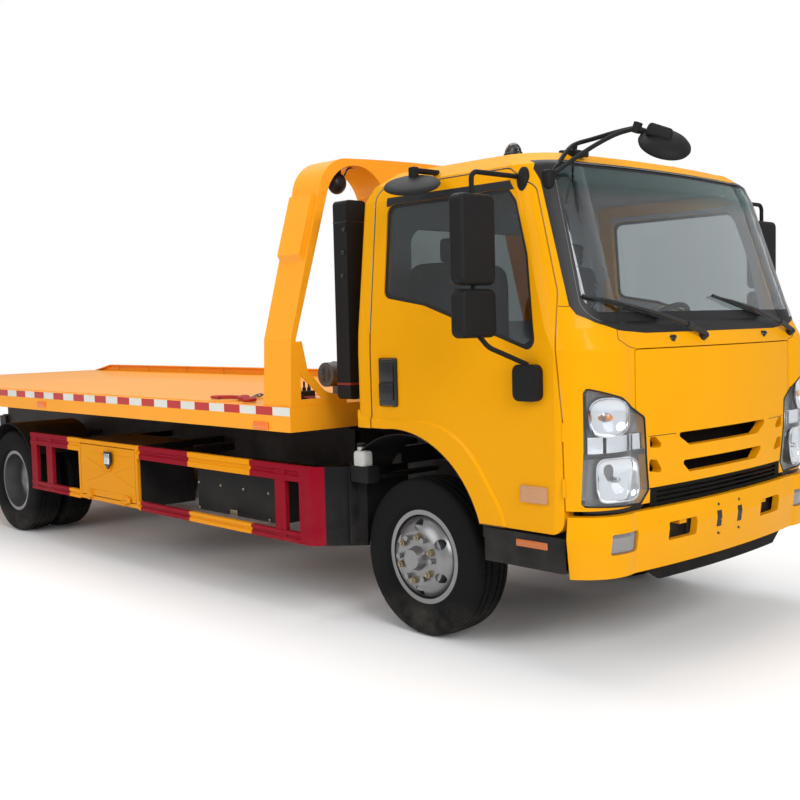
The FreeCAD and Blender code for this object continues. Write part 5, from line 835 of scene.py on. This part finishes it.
for side, word in SIDES:
    front = skin_copy("headlamps", (0.7, side * 0.7, 0), 0.3)
    drop_faces(front, lambda normal, middle: middle.y * side < 0)
    tray, bar, divider, filler = front.copy(), front.copy(), front.copy(), front.copy()
    borders = boundary_loops(front, 0.5)
    lens = piece("headlamp_lens_" + word, thickened(front, -0.0005, 0.0025), "chassis", lamp_glass)
    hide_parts("headlamps")
    # the tray is the lens's own form set back, with a wall from its border up to the lens
    tray.normal_update()
    wall_top = {}
    for vert in tray.verts:
        under_lens = vert.co - vert.normal * 0.003
        vert.co -= vert.normal * TRAY_DEPTH
        if vert.is_boundary:
            wall_top[tuple(round(c, 6) for c in vert.co)] = under_lens
    wall = bmesh.ops.extrude_edge_only(tray, edges=[e for e in tray.edges if e.is_boundary])["geom"]
    for vert in [g for g in wall if isinstance(g, bmesh.types.BMVert)]:
        vert.co = wall_top[tuple(round(c, 6) for c in vert.co)]
    bmesh.ops.recalc_face_normals(tray, faces=tray.faces)
    piece("headlamp_tray_" + word, tray, "chassis", tray_grey)
    fitting("headlamp_rim_" + word, "chassis", "black_plastic", seal_and_shade_black,
            *[(tube, loop, 0.0042, True, 2, 1) for loop in borders])
    upper_axis, lower_axis = (0.93, side * 0.36, 0.06), (0.96, side * 0.28, 0.06)
    upper = Vector((4.273, side * 0.858, 1.139)) - Vector(upper_axis).normalized() * BOWL_SET_BACK
    lower = Vector((4.279, side * 0.806, 0.866)) - Vector(lower_axis).normalized() * BOWL_SET_BACK
    fitting("headlamp_bowls_" + word, "chassis", "steel", lamp_chrome,
            (bowl, upper, upper_axis, 0.098, 0.080, BOWL_DEPTH, 2.8),
            (bowl, lower, lower_axis, 0.110, 0.092, BOWL_DEPTH, 4.5))
    fitting("headlamp_bulbs_" + word, "chassis", "steel", lamp_silver,
            (turned, [(-0.022, 0.013), (-0.004, 0.013), (0.004, 0.010), (0.008, 0.0)], lower, lower_axis, 20),
            (turned, [(-0.022, 0.020), (-0.016, 0.020), (-0.016, 0.0)], upper, upper_axis, 20))
    fitting("headlamp_amber_" + word, "chassis", "lens", bulb_amber,
            (turned, [(-0.018, 0.013), (-0.006, 0.016), (0.004, 0.013), (0.009, 0.0)], upper, upper_axis, 20))
    within(bar, z=(0.985, 1.056), y=(-0.950, 0.950))
    piece("headlamp_bar_" + word, thickened(bar, -0.016, 0.012), "chassis", lamp_chrome)
    within(divider, z=(0.963, 0.985))
    piece("headlamp_divider_" + word, thickened(divider, -0.010, 0.020), "chassis", lamp_dark)
    fitting("headlamp_ribs_" + word, "chassis", "black_plastic", lamp_dark,
            *[(turned, [(-0.034, 0), (-0.034, 0.0045), (0.034, 0.0045), (0.034, 0)],
               (4.274 - (y - 0.66) * 0.085, side * y, 1.020), (0, 0, 1), 12) for y in (0.712, 0.768, 0.824, 0.880)])
    # the black strip between the lamp and the bumper is moulded with the lamp's lower edge
    trimmed(filler, (Vector((0, 0, 0.776)), Vector((0, 0, 1))))
    bmesh.ops.translate(filler, vec=(0, 0, -0.0285), verts=filler.verts)
    piece("lamp_filler_" + word, thickened(filler, -0.004, 0.006), "chassis", seal_and_shade_black)

# Panel gaps and washer jets
# The gaps between the pressed panels, drawn as black lines of painted shade, and two small black jets on the cowl.
def surface_of(*names):
    """What a line meets first on these CAD pieces."""
    both = bmesh.new()
    for name in names:
        both.from_mesh(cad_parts[name].data)
    found = BVHTree.FromBMesh(both)
    both.free()
    return found


def along_surface(surface, points, direction, steps=8):
    """The line of points laid on the surface, met from outside along one direction."""
    way, run = Vector(direction).normalized(), [Vector(p) for p in points]
    spots = [a.lerp(b, k / steps) for a, b in zip(run, run[1:]) for k in range(steps)] + run[-1:]
    hits = [surface.ray_cast(spot - way * 0.30, way, 0.6)[0] for spot in spots]
    return [hit for hit in hits if hit is not None]


def from_front(surface, y, z):
    """Where a level line from ahead of the truck meets a surface, and the surface's normal there."""
    return surface.ray_cast(Vector((4.7, y, z)), Vector((-1, 0, 0)))[:2]


front_surface = surface_of("cab_shell", "front_panel")
# black lines along the panel gaps: painted shade
gap_shade_lines = bmesh.new()
for side, slot_end in ((-1, 0.415), (1, 0.440)):
    for line, sideways in (([(4.081, 0.981, 1.618), (4.129, 0.951, 1.614)], -1.72),
                           ([(4.243, 0.772, 1.511), (4.268, 0.792, 1.470), (4.280, 0.740, 1.440),
                             (4.280, 0.690, 1.428)], 0),
                           ([(4.280, 0.688, 1.0375), (4.300, slot_end, 1.0365)], 0)):
        laid = along_surface(front_surface, [(x, side * y, z) for x, y, z in line], (-1, side * sideways, 0))
        if len(laid) > 2:
            tube(gap_shade_lines, laid, 0.0016)
piece("panel_gap_painted_shade", gap_shade_lines, "chassis", seal_and_shade_black)
jets = bmesh.new()
for y, z in ((-0.409, 1.465), (0.4175, 1.466)):
    turned(jets, [(-0.004, 0), (-0.004, 0.017), (0.003, 0.017), (0.008, 0.012), (0.014, 0.011), (0.020, 0.007),
                  (0.021, 0)], *from_front(front_surface, y, z), 20)
piece("washer_jets", jets, "chassis", handle_black)

# Wipers
# Two black arms on short capped pivots; each carries a spring bow and a long blade with its rubber lip on the glass.
wiper_black = coloured("wiper_black", (0.009, 0.009, 0.010), 0.34, grain=(900, 0.2), dust=(0.8, 0.02, 6.0), coat=0.2)
pane_surface = surface_of("windscreen", "cab_shell", "front_panel")


def over_pane(shift, *spots):
    """Points off the windscreen or the cowl under it; each spot is y, z and its height, moved along y by shift."""
    hits = [from_front(pane_surface, y + shift, z) for y, z, height in spots]
    return [point + normal * height for (point, normal), (y, z, height) in zip(hits, spots)]


wipers = bmesh.new()
for shift in (0.0, 0.916):
    turned(wipers, [(-0.010, 0), (-0.010, 0.020), (0.016, 0.019), (0.030, 0.015), (0.034, 0.008), (0.035, 0)],
           over_pane(shift, (-0.178, 1.466, 0.0))[0], (0.9, 0, 0.45), 24)
    tube(wipers, over_pane(shift, (-0.190, 1.474, 0.030), (-0.290, 1.508, 0.034), (-0.420, 1.548, 0.040),
                           (-0.560, 1.585, 0.034), (-0.650, 1.607, 0.024)), 0.0085)
    tube(wipers, over_pane(shift, (-0.188, 1.473, 0.026), (-0.240, 1.491, 0.030), (-0.300, 1.511, 0.033)), 0.0135)
    for height, radius in ((0.0055, 0.0045), (0.015, 0.0062)):
        tube(wipers, over_pane(shift, *[(-0.893 + 0.442 * k / 6, 1.655 - 0.098 * k / 6, height) for k in range(7)]),
             radius)
    tube(wipers, over_pane(shift, (-0.820, 1.639, 0.016), (-0.760, 1.626, 0.027), (-0.650, 1.604, 0.031),
                           (-0.560, 1.582, 0.027), (-0.500, 1.568, 0.016)), 0.0060)
wiper_piece = piece("wiper_set", wipers, "chassis", wiper_black)
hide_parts("wipers")

# Look-down mirror
# A round domed shell with a squared clamp, held out over the windscreen by two bent tubes from the pillar's head.
look_down = bmesh.new()
look_centre = Vector((4.346, -0.550, 2.3095))
look_axis = Vector((0.55, -0.36, 0.75)).normalized()
turned(look_down, [(-0.020, 0), (-0.020, 0.104), (-0.016, 0.112), (-0.008, 0.116), (0.000, 0.114), (0.014, 0.100),
                   (0.026, 0.076), (0.034, 0.045), (0.037, 0)], look_centre, look_axis, 48)
hump = bmesh.new()
block(hump, (-0.055, -0.040, 0.0), (0.055, 0.040, 0.060), 0.016, 4)
bmesh.ops.transform(hump, matrix=Matrix.Translation((4.318, -0.572, 2.325)) @ Matrix.Rotation(radians(40), 4, "Z")
                    @ Matrix.Rotation(radians(20), 4, "Y"), verts=hump.verts)
join(look_down, hump)
for bar in ([(3.972, -0.868, 2.170), (3.968, -0.820, 2.235), (3.945, -0.700, 2.330), (3.928, -0.610, 2.362),
             (3.990, -0.600, 2.368), (4.178, -0.615, 2.384), (4.240, -0.592, 2.388)],
            [(3.976, -0.872, 2.190), (3.990, -0.850, 2.205), (4.030, -0.780, 2.262), (4.110, -0.690, 2.335),
             (4.178, -0.622, 2.378), (4.240, -0.594, 2.384)]):
    tube(look_down, bar, 0.0105)
tube(look_down, [(4.225, -0.596, 2.386), (4.262, -0.576, 2.366), (4.300, -0.556, 2.350)], 0.015)
turned(look_down, [(-0.022, 0), (-0.022, 0.020), (0.022, 0.020), (0.022, 0)], (4.232, -0.592, 2.388), (0.3, 0.2, 1),
       20)
roof_surface = surface_of("cab_shell", "windscreen")
foot = roof_surface.ray_cast(Vector((3.925, -0.640, 2.6)), Vector((0, 0, -1)))[0]
mount = bmesh.new()
block(mount, (-0.055, -0.045, -0.010), (0.055, 0.045, 0.018), 0.008, 3)
bmesh.ops.transform(mount, matrix=Matrix.Translation(foot) @ Matrix.Rotation(radians(6), 4, "Y"), verts=mount.verts)
join(look_down, mount)
tube(look_down, [foot, foot.lerp(Vector((3.935, -0.640, 2.352)), 0.5), (3.935, -0.640, 2.352)], 0.012)
block(look_down, (3.950, -0.905, 2.130), (3.992, -0.855, 2.215), 0.012, 3)
look_piece = piece("look_down_mirror_set", look_down, "chassis", moulded_black)
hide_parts("look_down_mirror")
mirror_glass = coloured("mirror_glass", (0.78, 0.80, 0.82), 0.03, grain=(900, 0.0), dust=(0.4, 0.0, 5.0), metal=1.0,
                        vary=0.02)
fitting("look_down_glass", "chassis", "lens", mirror_glass,
        (turned, [(0.0, 0.0), (0.0, 0.098), (-0.003, 0.098), (-0.010, 0.060), (-0.013, 0.0)],
         look_centre - look_axis * 0.0195, look_axis, 48))

# Kerb mirror
# A thin domed shell over a convex glass, hung by a short clamp from the top of the right door.
kerb_axis, kerb_centre = Vector((0.25, -0.35, 0.90)).normalized(), Vector((3.340, -1.100, 2.205))
kerb = fitting("kerb_mirror_set", "door_right", "black_plastic", moulded_black,
               (turned, [(-0.010, 0), (-0.010, 0.130), (-0.006, 0.134), (0.002, 0.128), (0.012, 0.100), (0.020, 0.060),
                         (0.023, 0)], kerb_centre, kerb_axis, 48),
               (block, (3.298, -1.085, 2.212), (3.336, -1.045, 2.290), 0.008, 3),
               (block, (3.300, -1.075, 2.262), (3.334, -0.905, 2.286), 0.006, 3))
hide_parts("kerb_mirror")
fitting("kerb_mirror_glass", "door_right", "lens", mirror_glass,
        (turned, [(0.0, 0.0), (0.0, 0.118), (-0.003, 0.118), (-0.010, 0.070), (-0.014, 0.0)],
         kerb_centre - kerb_axis * 0.0095, kerb_axis, 48))

# Mirror glass
# Flat glass set in the rear face of each door mirror's two heads, 12 mm inside the shell's edge.
for side, word in SIDES:
    glass = bmesh.new()
    for z0, z1 in ((1.727, 2.088), (1.502, 1.686)):
        one = within(skin_copy("mirrors_" + word, (-1, 0, 0), 0.8), z=(z0, z1), y=sorted((side * 1.142, side * 1.338)))
        join(glass, thickened(one, 0.0006, 0.002))
    piece("mirror_glass_" + word, glass, "door_" + word, mirror_glass)

# Door head trim
# The black window top, and the moulded foot of the mirror's upper arm.
for side, word in SIDES:
    top = within(skin_copy("door_" + word, (0, side, 0.25), 0.3), z=(2.139, 2.182), x=(3.012, 4.2))
    trimmed(top, (Vector((3.835, 0, 2.146)), Vector((1, 0, 0.7))))
    piece("window_top_" + word, thickened(top, 0.0012, 0.002), "door_" + word, seal_and_shade_black)
    fitting("mirror_upper_foot_" + word, "door_" + word, "black_plastic", moulded_black,
            (turned, [(-0.006, 0), (-0.006, 0.030), (0.010, 0.028), (0.018, 0.020), (0.021, 0)],
             (3.872, side * 0.935, 2.178), (0, side, 0.15), 28, (1.0, 2.0)))

# Roof marker lamps
# A clear moulded dome on a black foot near each side of the roof.
dome_clear = glazing("marker_dome", (0.72, 0.72, 0.72), 0.08)
for side, word in SIDES:
    spot = roof_surface.ray_cast(Vector((3.600, side * 0.680, 2.7)), Vector((0, 0, -1)))[0]
    fitting("roof_marker_foot_" + word, "chassis", "black_plastic", handle_black,
            (turned, [(-0.010, 0), (-0.010, 0.052), (0.012, 0.052), (0.016, 0.044), (0.034, 0.026), (0.048, 0.014),
                      (0.052, 0)], spot, (0, 0, 1), 32, (1.0, 0.62)))
    fitting("roof_marker_" + word, "chassis", "lens", dome_clear,
            (turned, [(0.012, 0), (0.012, 0.047), (0.028, 0.045), (0.046, 0.034), (0.058, 0.018), (0.062, 0)], spot,
             (0, 0, 1), 32, (1.0, 0.62)))

# Plate bracket
# Two upright slots and the screw holes of the number plate's place, left bare, and dark panels behind the bumper's
# two openings beside it, painted shade in the openings.
bumper_surface = surface_of("front_bumper")
slots = bmesh.new()
for y in (-0.1095, 0.0766):
    one = within(skin_copy("front_bumper", (1, 0, 0), 0.5), z=(0.572, 0.648), y=(y - 0.020, y + 0.020))
    join(slots, thickened(one, 0.0009, 0.002))
    for z in (0.540, 0.676):
        turned(slots, [(-0.004, 0), (-0.004, 0.0075), (0.0015, 0.0075), (0.0015, 0)],
               from_front(bumper_surface, y, z)[0], (1, 0, 0), 14)
# dark backs behind the bumper's two openings: painted shade
for side in (-1, 1):
    side_block(slots, side, 4.262, 4.268, 0.270, 0.530, 0.545, 0.662)
piece("plate_slots_and_opening_shade", slots, "chassis", seal_and_shade_black)

# Door edges
# A dark line just inside each door's outer sheet is painted shade of the door gap. The front edge swings into its gap
# and has none.
GAP_SHADE_SET_IN, GAP_SHADE_RADIUS = 0.0022, 0.0014
for side, word in SIDES:
    sheet, gap_shade_line = skin_copy("door_" + word, (0, side, 0.1), 0.45), bmesh.new()
    for loop in boundary_loops(sheet, 3.0):
        middle = sum(loop, Vector()) / len(loop)
        line = [p + Vector((middle.x - p.x, 0, middle.z - p.z)).normalized() * GAP_SHADE_SET_IN for p in loop]
        kept = [p.x < 3.96 - 0.30 * max(0.0, p.z - 1.5) for p in line]
        first = next(i for i in range(len(kept)) if kept[i] and not kept[i - 1])
        order = [*range(first, len(line)), *range(first)]
        # the line is painted shade of the gap round the door
        tube(gap_shade_line, [line[i] for i in order if kept[i]], GAP_SHADE_RADIUS, False, 2, 1)
    sheet.free()
    piece("door_gap_shade_" + word, gap_shade_line, "door_" + word, seal_and_shade_black)

# Cab lining and door cards
# Grey moulded board on the roof, back wall, pillars and doors, just inside the painted sheet.
lining_grey = coloured("lining_grey", (0.46, 0.46, 0.48), 0.8, grain=(1200, 0.5), dust=(0.1, 0.0, 5.0))
ROOM_MIDDLE = Vector((3.45, 0, 1.75))


def not_lined(normal, middle):
    """True for faces that don't look into the cab's room."""
    beyond = abs(middle.y) > 0.99 or not 2.55 < middle.x < 4.20 or not 1.20 < middle.z < 2.336
    return beyond or normal.dot((ROOM_MIDDLE - middle).normalized()) < 0.34


lining = skin_copy("cab_shell", (0, 0, 1), -1.1)
drop_faces(lining, not_lined)
piece("cab_lining", thickened(lining, 0.0015, 0.001), "chassis", lining_grey)
for side, word in SIDES:
    card = skin_copy("door_" + word, (0, -side, 0), 0.5)
    drop_faces(card, lambda normal, middle: abs(middle.y) > 0.995)
    within(card, z=(0.780, 2.170), x=(3.030, 4.000))
    piece("door_card_" + word, thickened(card, 0.0015, 0.001), "door_" + word, lining_grey)

# Seats
# Foam pads in ribbed woven cloth on moulded bases: a single seat behind the wheel and a bench beside it.
SIDE_DRAW, RIB_HEIGHT, RIB_PITCH = 0.018, 0.0025, 0.085


def pad(name, low, high, crown):
    """A crowned, softly ribbed pad whose sides draw in between its corners."""
    low, high = Vector(low), Vector(high)
    half, middle = (high - low) / 2, (high + low) / 2
    form = bmesh.new()
    bmesh.ops.create_cube(form, size=2.0)
    bmesh.ops.subdivide_edges(form, edges=form.edges[:], cuts=11, use_grid_fill=True)
    upright = half.z > half.x
    for vert in form.verts:
        a, b, c = vert.co
        length = (abs(a) ** 7 + abs(b) ** 7 + abs(c) ** 7) ** (1 / 7)
        a, b, c = a / length, b / length, c / length
        thin = a if upright else c
        wide = (b, c) if upright else (a, b)
        swell = (1 - wide[0] ** 2) * (1 - wide[1] ** 2) * crown
        draw = 1 - SIDE_DRAW * (1 - thin ** 2)
        rib = RIB_HEIGHT * cos(b * half.y * 2 * pi / RIB_PITCH) * (1 - wide[0] ** 4) * (1 - wide[1] ** 4)
        spot = Vector((a * half.x, b * half.y, c * half.z))
        if upright:
            spot.x = a * (half.x - crown) + (swell + rib) * (1 if a > 0 else -0.4)
            spot.y, spot.z = spot.y * draw, spot.z * draw
        else:
            spot.z = c * (half.z - crown) + (swell + rib) * (1 if c > 0 else -0.1)
            spot.x, spot.y = spot.x * draw, spot.y * draw
        vert.co = spot
    bmesh.ops.translate(form, vec=middle, verts=form.verts)
    cushion = piece(name, form, "chassis", seat_cloth, sharp=80)
    smooth = cushion.modifiers.new("soft", "SUBSURF")
    smooth.levels = smooth.render_levels = 1
    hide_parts("seats")


pad("driver_cushion", (2.965, 0.270, 1.195), (3.450, 0.730, 1.345), 0.022)
pad("driver_back", (2.940, 0.275, 1.335), (3.075, 0.725, 1.875), 0.020)
pad("driver_headrest", (2.950, 0.380, 1.872), (3.055, 0.620, 2.005), 0.012)
pad("bench_cushion", (2.965, -0.795, 1.195), (3.450, -0.065, 1.345), 0.022)
pad("bench_back", (2.940, -0.790, 1.335), (3.075, -0.070, 1.875), 0.020)
pad("bench_headrest", (2.950, -0.545, 1.872), (3.055, -0.305, 2.005), 0.012)
fitting("seat_bases", "chassis", "grey_plastic", dash_grey,
        *[(block, (2.990, y0, 1.070), (3.420, y1, 1.200), 0.020, 3) for y0, y1 in ((0.300, 0.700), (-0.770, -0.090))])

# Inner mirror
# A dark oval mirror on a thin bent stem from the header.
header = from_front(pane_surface, -0.745, 2.195)[0] + Vector((-0.014, 0, 0))
stem_end = header + Vector((-0.030, -0.012, -0.120))
fitting("inner_mirror", "chassis", "black_plastic", moulded_black,
        (tube, [header, header + Vector((-0.012, -0.002, -0.040)), header + Vector((-0.026, -0.008, -0.085)),
                stem_end], 0.0055),
        (turned, [(-0.010, 0), (-0.009, 0.030), (0.0, 0.036), (0.006, 0.032), (0.008, 0)],
         stem_end + Vector((0, 0, -0.075)), (0.85, 0.5, 0.1), 28, (1.0, 2.3)))

# Toolbox doors
# Pressed doors whose stiffening creases show as soft lines of a darker yellow, painted shade in the creases,
# with a chrome lever latch in a black shield and two hinges.
# a darker yellow than the door, laid along each crease as painted shade
crease_painted_shade = coloured("crease_painted_shade", (0.62, 0.23, 0.002), 0.45, grain=(300, 0.06), dust=(0.8, 0.1, 5.0), gloss=0.06)
latch_chrome = coloured("latch_chrome", (0.66, 0.67, 0.69), 0.15, grain=(900, 0.05), dust=(0.9, 0.1, 6.0), metal=1.0)
for side, word in SIDES:
    body = "toolbox_door_" + word
    door_skin = surface_of(body)
    creases = bmesh.new()
    for (x0, z0), (x1, z1) in (((0.064, 0.690), (0.241, 0.642)), ((0.721, 0.680), (0.562, 0.642)),
                               ((0.226, 0.571), (0.048, 0.524)), ((0.564, 0.566), (0.709, 0.529)),
                               ((0.124, 0.730), (0.692, 0.730)), ((0.081, 0.475), (0.721, 0.475)),
                               ((0.241, 0.642), (0.330, 0.616)), ((0.562, 0.642), (0.455, 0.614)),
                               ((0.226, 0.571), (0.330, 0.600)), ((0.564, 0.566), (0.455, 0.598))):
        laid = along_surface(door_skin, [(x0, side * 1.2, z0), (x1, side * 1.2, z1)], (0, -side, 0), 4)
        if len(laid) > 2:
            tube(creases, [p + Vector((0, -side * 0.0016, 0)) for p in laid], 0.0030)
    piece("toolbox_creases_" + word, creases, body, crease_painted_shade)
    face_y = abs(door_skin.ray_cast(Vector((0.39, side * 1.6, 0.70)), Vector((0, -side, 0)))[0].y)
    shield = bmesh.new()
    plate = shield.faces.new([shield.verts.new((x, side * face_y, z)) for x, z in (
        (0.342, 0.752), (0.438, 0.752), (0.438, 0.690), (0.424, 0.660), (0.390, 0.632), (0.356, 0.660),
        (0.342, 0.690))])
    lifted = bmesh.ops.extrude_face_region(shield, geom=[plate])["geom"]
    bmesh.ops.translate(shield, vec=(0, side * 0.012, 0),
                        verts=[g for g in lifted if isinstance(g, bmesh.types.BMVert)])
    bmesh.ops.recalc_face_normals(shield, faces=shield.faces)
    bmesh.ops.bevel(shield, geom=shield.edges[:], offset=0.004, segments=3, profile=0.5, affect="EDGES", material=-1)
    piece("toolbox_latch_shield_" + word, shield, body, handle_black)
    fitting("toolbox_latch_" + word, body, "steel", latch_chrome,
            (side_block, side, 0.357, 0.423, face_y + 0.008, face_y + 0.018, 0.668, 0.740, 0.005, 3),
            (turned, [(0.0, 0), (0.0, 0.010), (0.006, 0.010), (0.008, 0.006), (0.008, 0)],
             (0.390, side * (face_y + 0.016), 0.684), (0, side, 0), 20))
    fitting("toolbox_hinges_" + word, body, "deck_paint", box_yellow,
            *[(side_block, side, x - 0.022, x + 0.022, face_y - 0.002, face_y + 0.006, 0.428, 0.462, 0.002, 2)
              for x in (0.115, 0.637)])

# Intake duct fittings
# Three cap bolts down the duct's side, a rubber joint ring and a thin red strap at the deck's level.
fitting("duct_bolts", "chassis", "black_plastic", handle_black,
        *[(turned, [(-0.004, 0), (-0.004, 0.011), (0.005, 0.011), (0.008, 0.006), (0.008, 0)], (x, -0.970, z),
           (0, -1, 0), 16) for x, z in ((2.696, 2.052), (2.686, 1.935), (2.675, 1.815))],
        (block, (2.6085, -0.972, 2.088), (2.7165, -0.828, 2.096), 0.002, 2))
fitting("duct_strap", "chassis", "steel", pipe_red,
        (block, (2.6085, -0.972, 1.2455), (2.7165, -0.828, 1.2575), 0.002, 2))

# Washer bottle
# A milky moulded bottle with a dark cap, held on a black bracket behind the cab.
bottle_milk = coloured("bottle_milk", (0.42, 0.42, 0.40), 0.35, grain=(700, 0.2), dust=(1.1, 0.2, 6.0))
fitting("washer_bottle", "chassis", "lens", bottle_milk,
        (block, (2.732, -0.985, 0.815), (2.820, -0.915, 0.905), 0.018, 4),
        (turned, [(0.0, 0), (0.0, 0.020), (0.022, 0.020), (0.022, 0)], (2.758, -0.945, 0.905), (0, 0, 1), 24))
fitting("bottle_holder", "chassis", "black_plastic", moulded_black,
        (turned, [(0.0, 0), (0.0, 0.024), (0.016, 0.024), (0.018, 0.018), (0.018, 0)], (2.758, -0.945, 0.925),
         (0, 0, 1), 24),
        (block, (2.716, -0.990, 0.740), (2.851, -0.900, 0.828), 0.008, 3),
        (block, (2.760, -0.905, 0.748), (2.810, -0.425, 0.772), 0.003, 2))

# Sills and mud flaps
# A black sill strip closes the gap between each door's foot and the step; a rubber flap hangs behind each front wheel.
for side, word in SIDES:
    fitting("door_sill_" + word, "chassis", "black_plastic", moulded_black,
            (side_block, side, 3.620, 4.130, 0.905, 0.965, 0.560, 0.660, 0.004, 2))
    fitting("mud_flap_" + word, "chassis", "black_plastic", moulded_black,
            (side_block, side, 2.700, 2.706, 0.560, 0.985, 0.400, 0.800, 0.002, 2))

# Battery box fittings
# Round rivet heads on the cover's face and a small grey toggle latch.
fitting("battery_rivets", "chassis", "steel", nut_steel,
        *[(turned, [(-0.003, 0), (-0.003, 0.009), (0.002, 0.008), (0.005, 0.004), (0.006, 0)], (x, -1.000, z),
           (0, -1, 0), 16) for x, z in ((1.529, 0.613), (1.763, 0.613), (2.007, 0.611), (1.294, 0.458), (2.012, 0.458),
                                        (1.294, 0.613))],
        (side_block, -1, 1.635, 1.705, 0.999, 1.012, 0.446, 0.482, 0.004, 3))

# Tail lamps and plate holder
# Moulded lenses in three fields over each lamp's red body, and a bare plate between the two lamps.
tail_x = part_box("tail_lamps")[0][0]
for name, slot_name, finish, y0, y1 in (("tail_amber", "red_lens", lamp_amber, 0.948, 1.052),
                                        ("tail_clear", "lens", bottle_milk, 0.843, 0.943),
                                        ("tail_red_lens", "red_lens", tail_red, 0.738, 0.838)):
    fitting(name, "chassis", slot_name, finish,
            *[(side_block, side, tail_x - 0.004, tail_x + 0.012, y0, y1, 0.492, 0.568, 0.004, 3) for side in (-1, 1)])
plate_white = coloured("plate_white", (0.72, 0.72, 0.70), 0.35, grain=(700, 0.05), dust=(0.9, 0.2, 6.0))
fitting("rear_plate", "chassis", "steel", plate_white,
        (block, (tail_x + 0.006, -0.170, 0.500), (tail_x + 0.042, 0.170, 0.660), 0.006, 3))
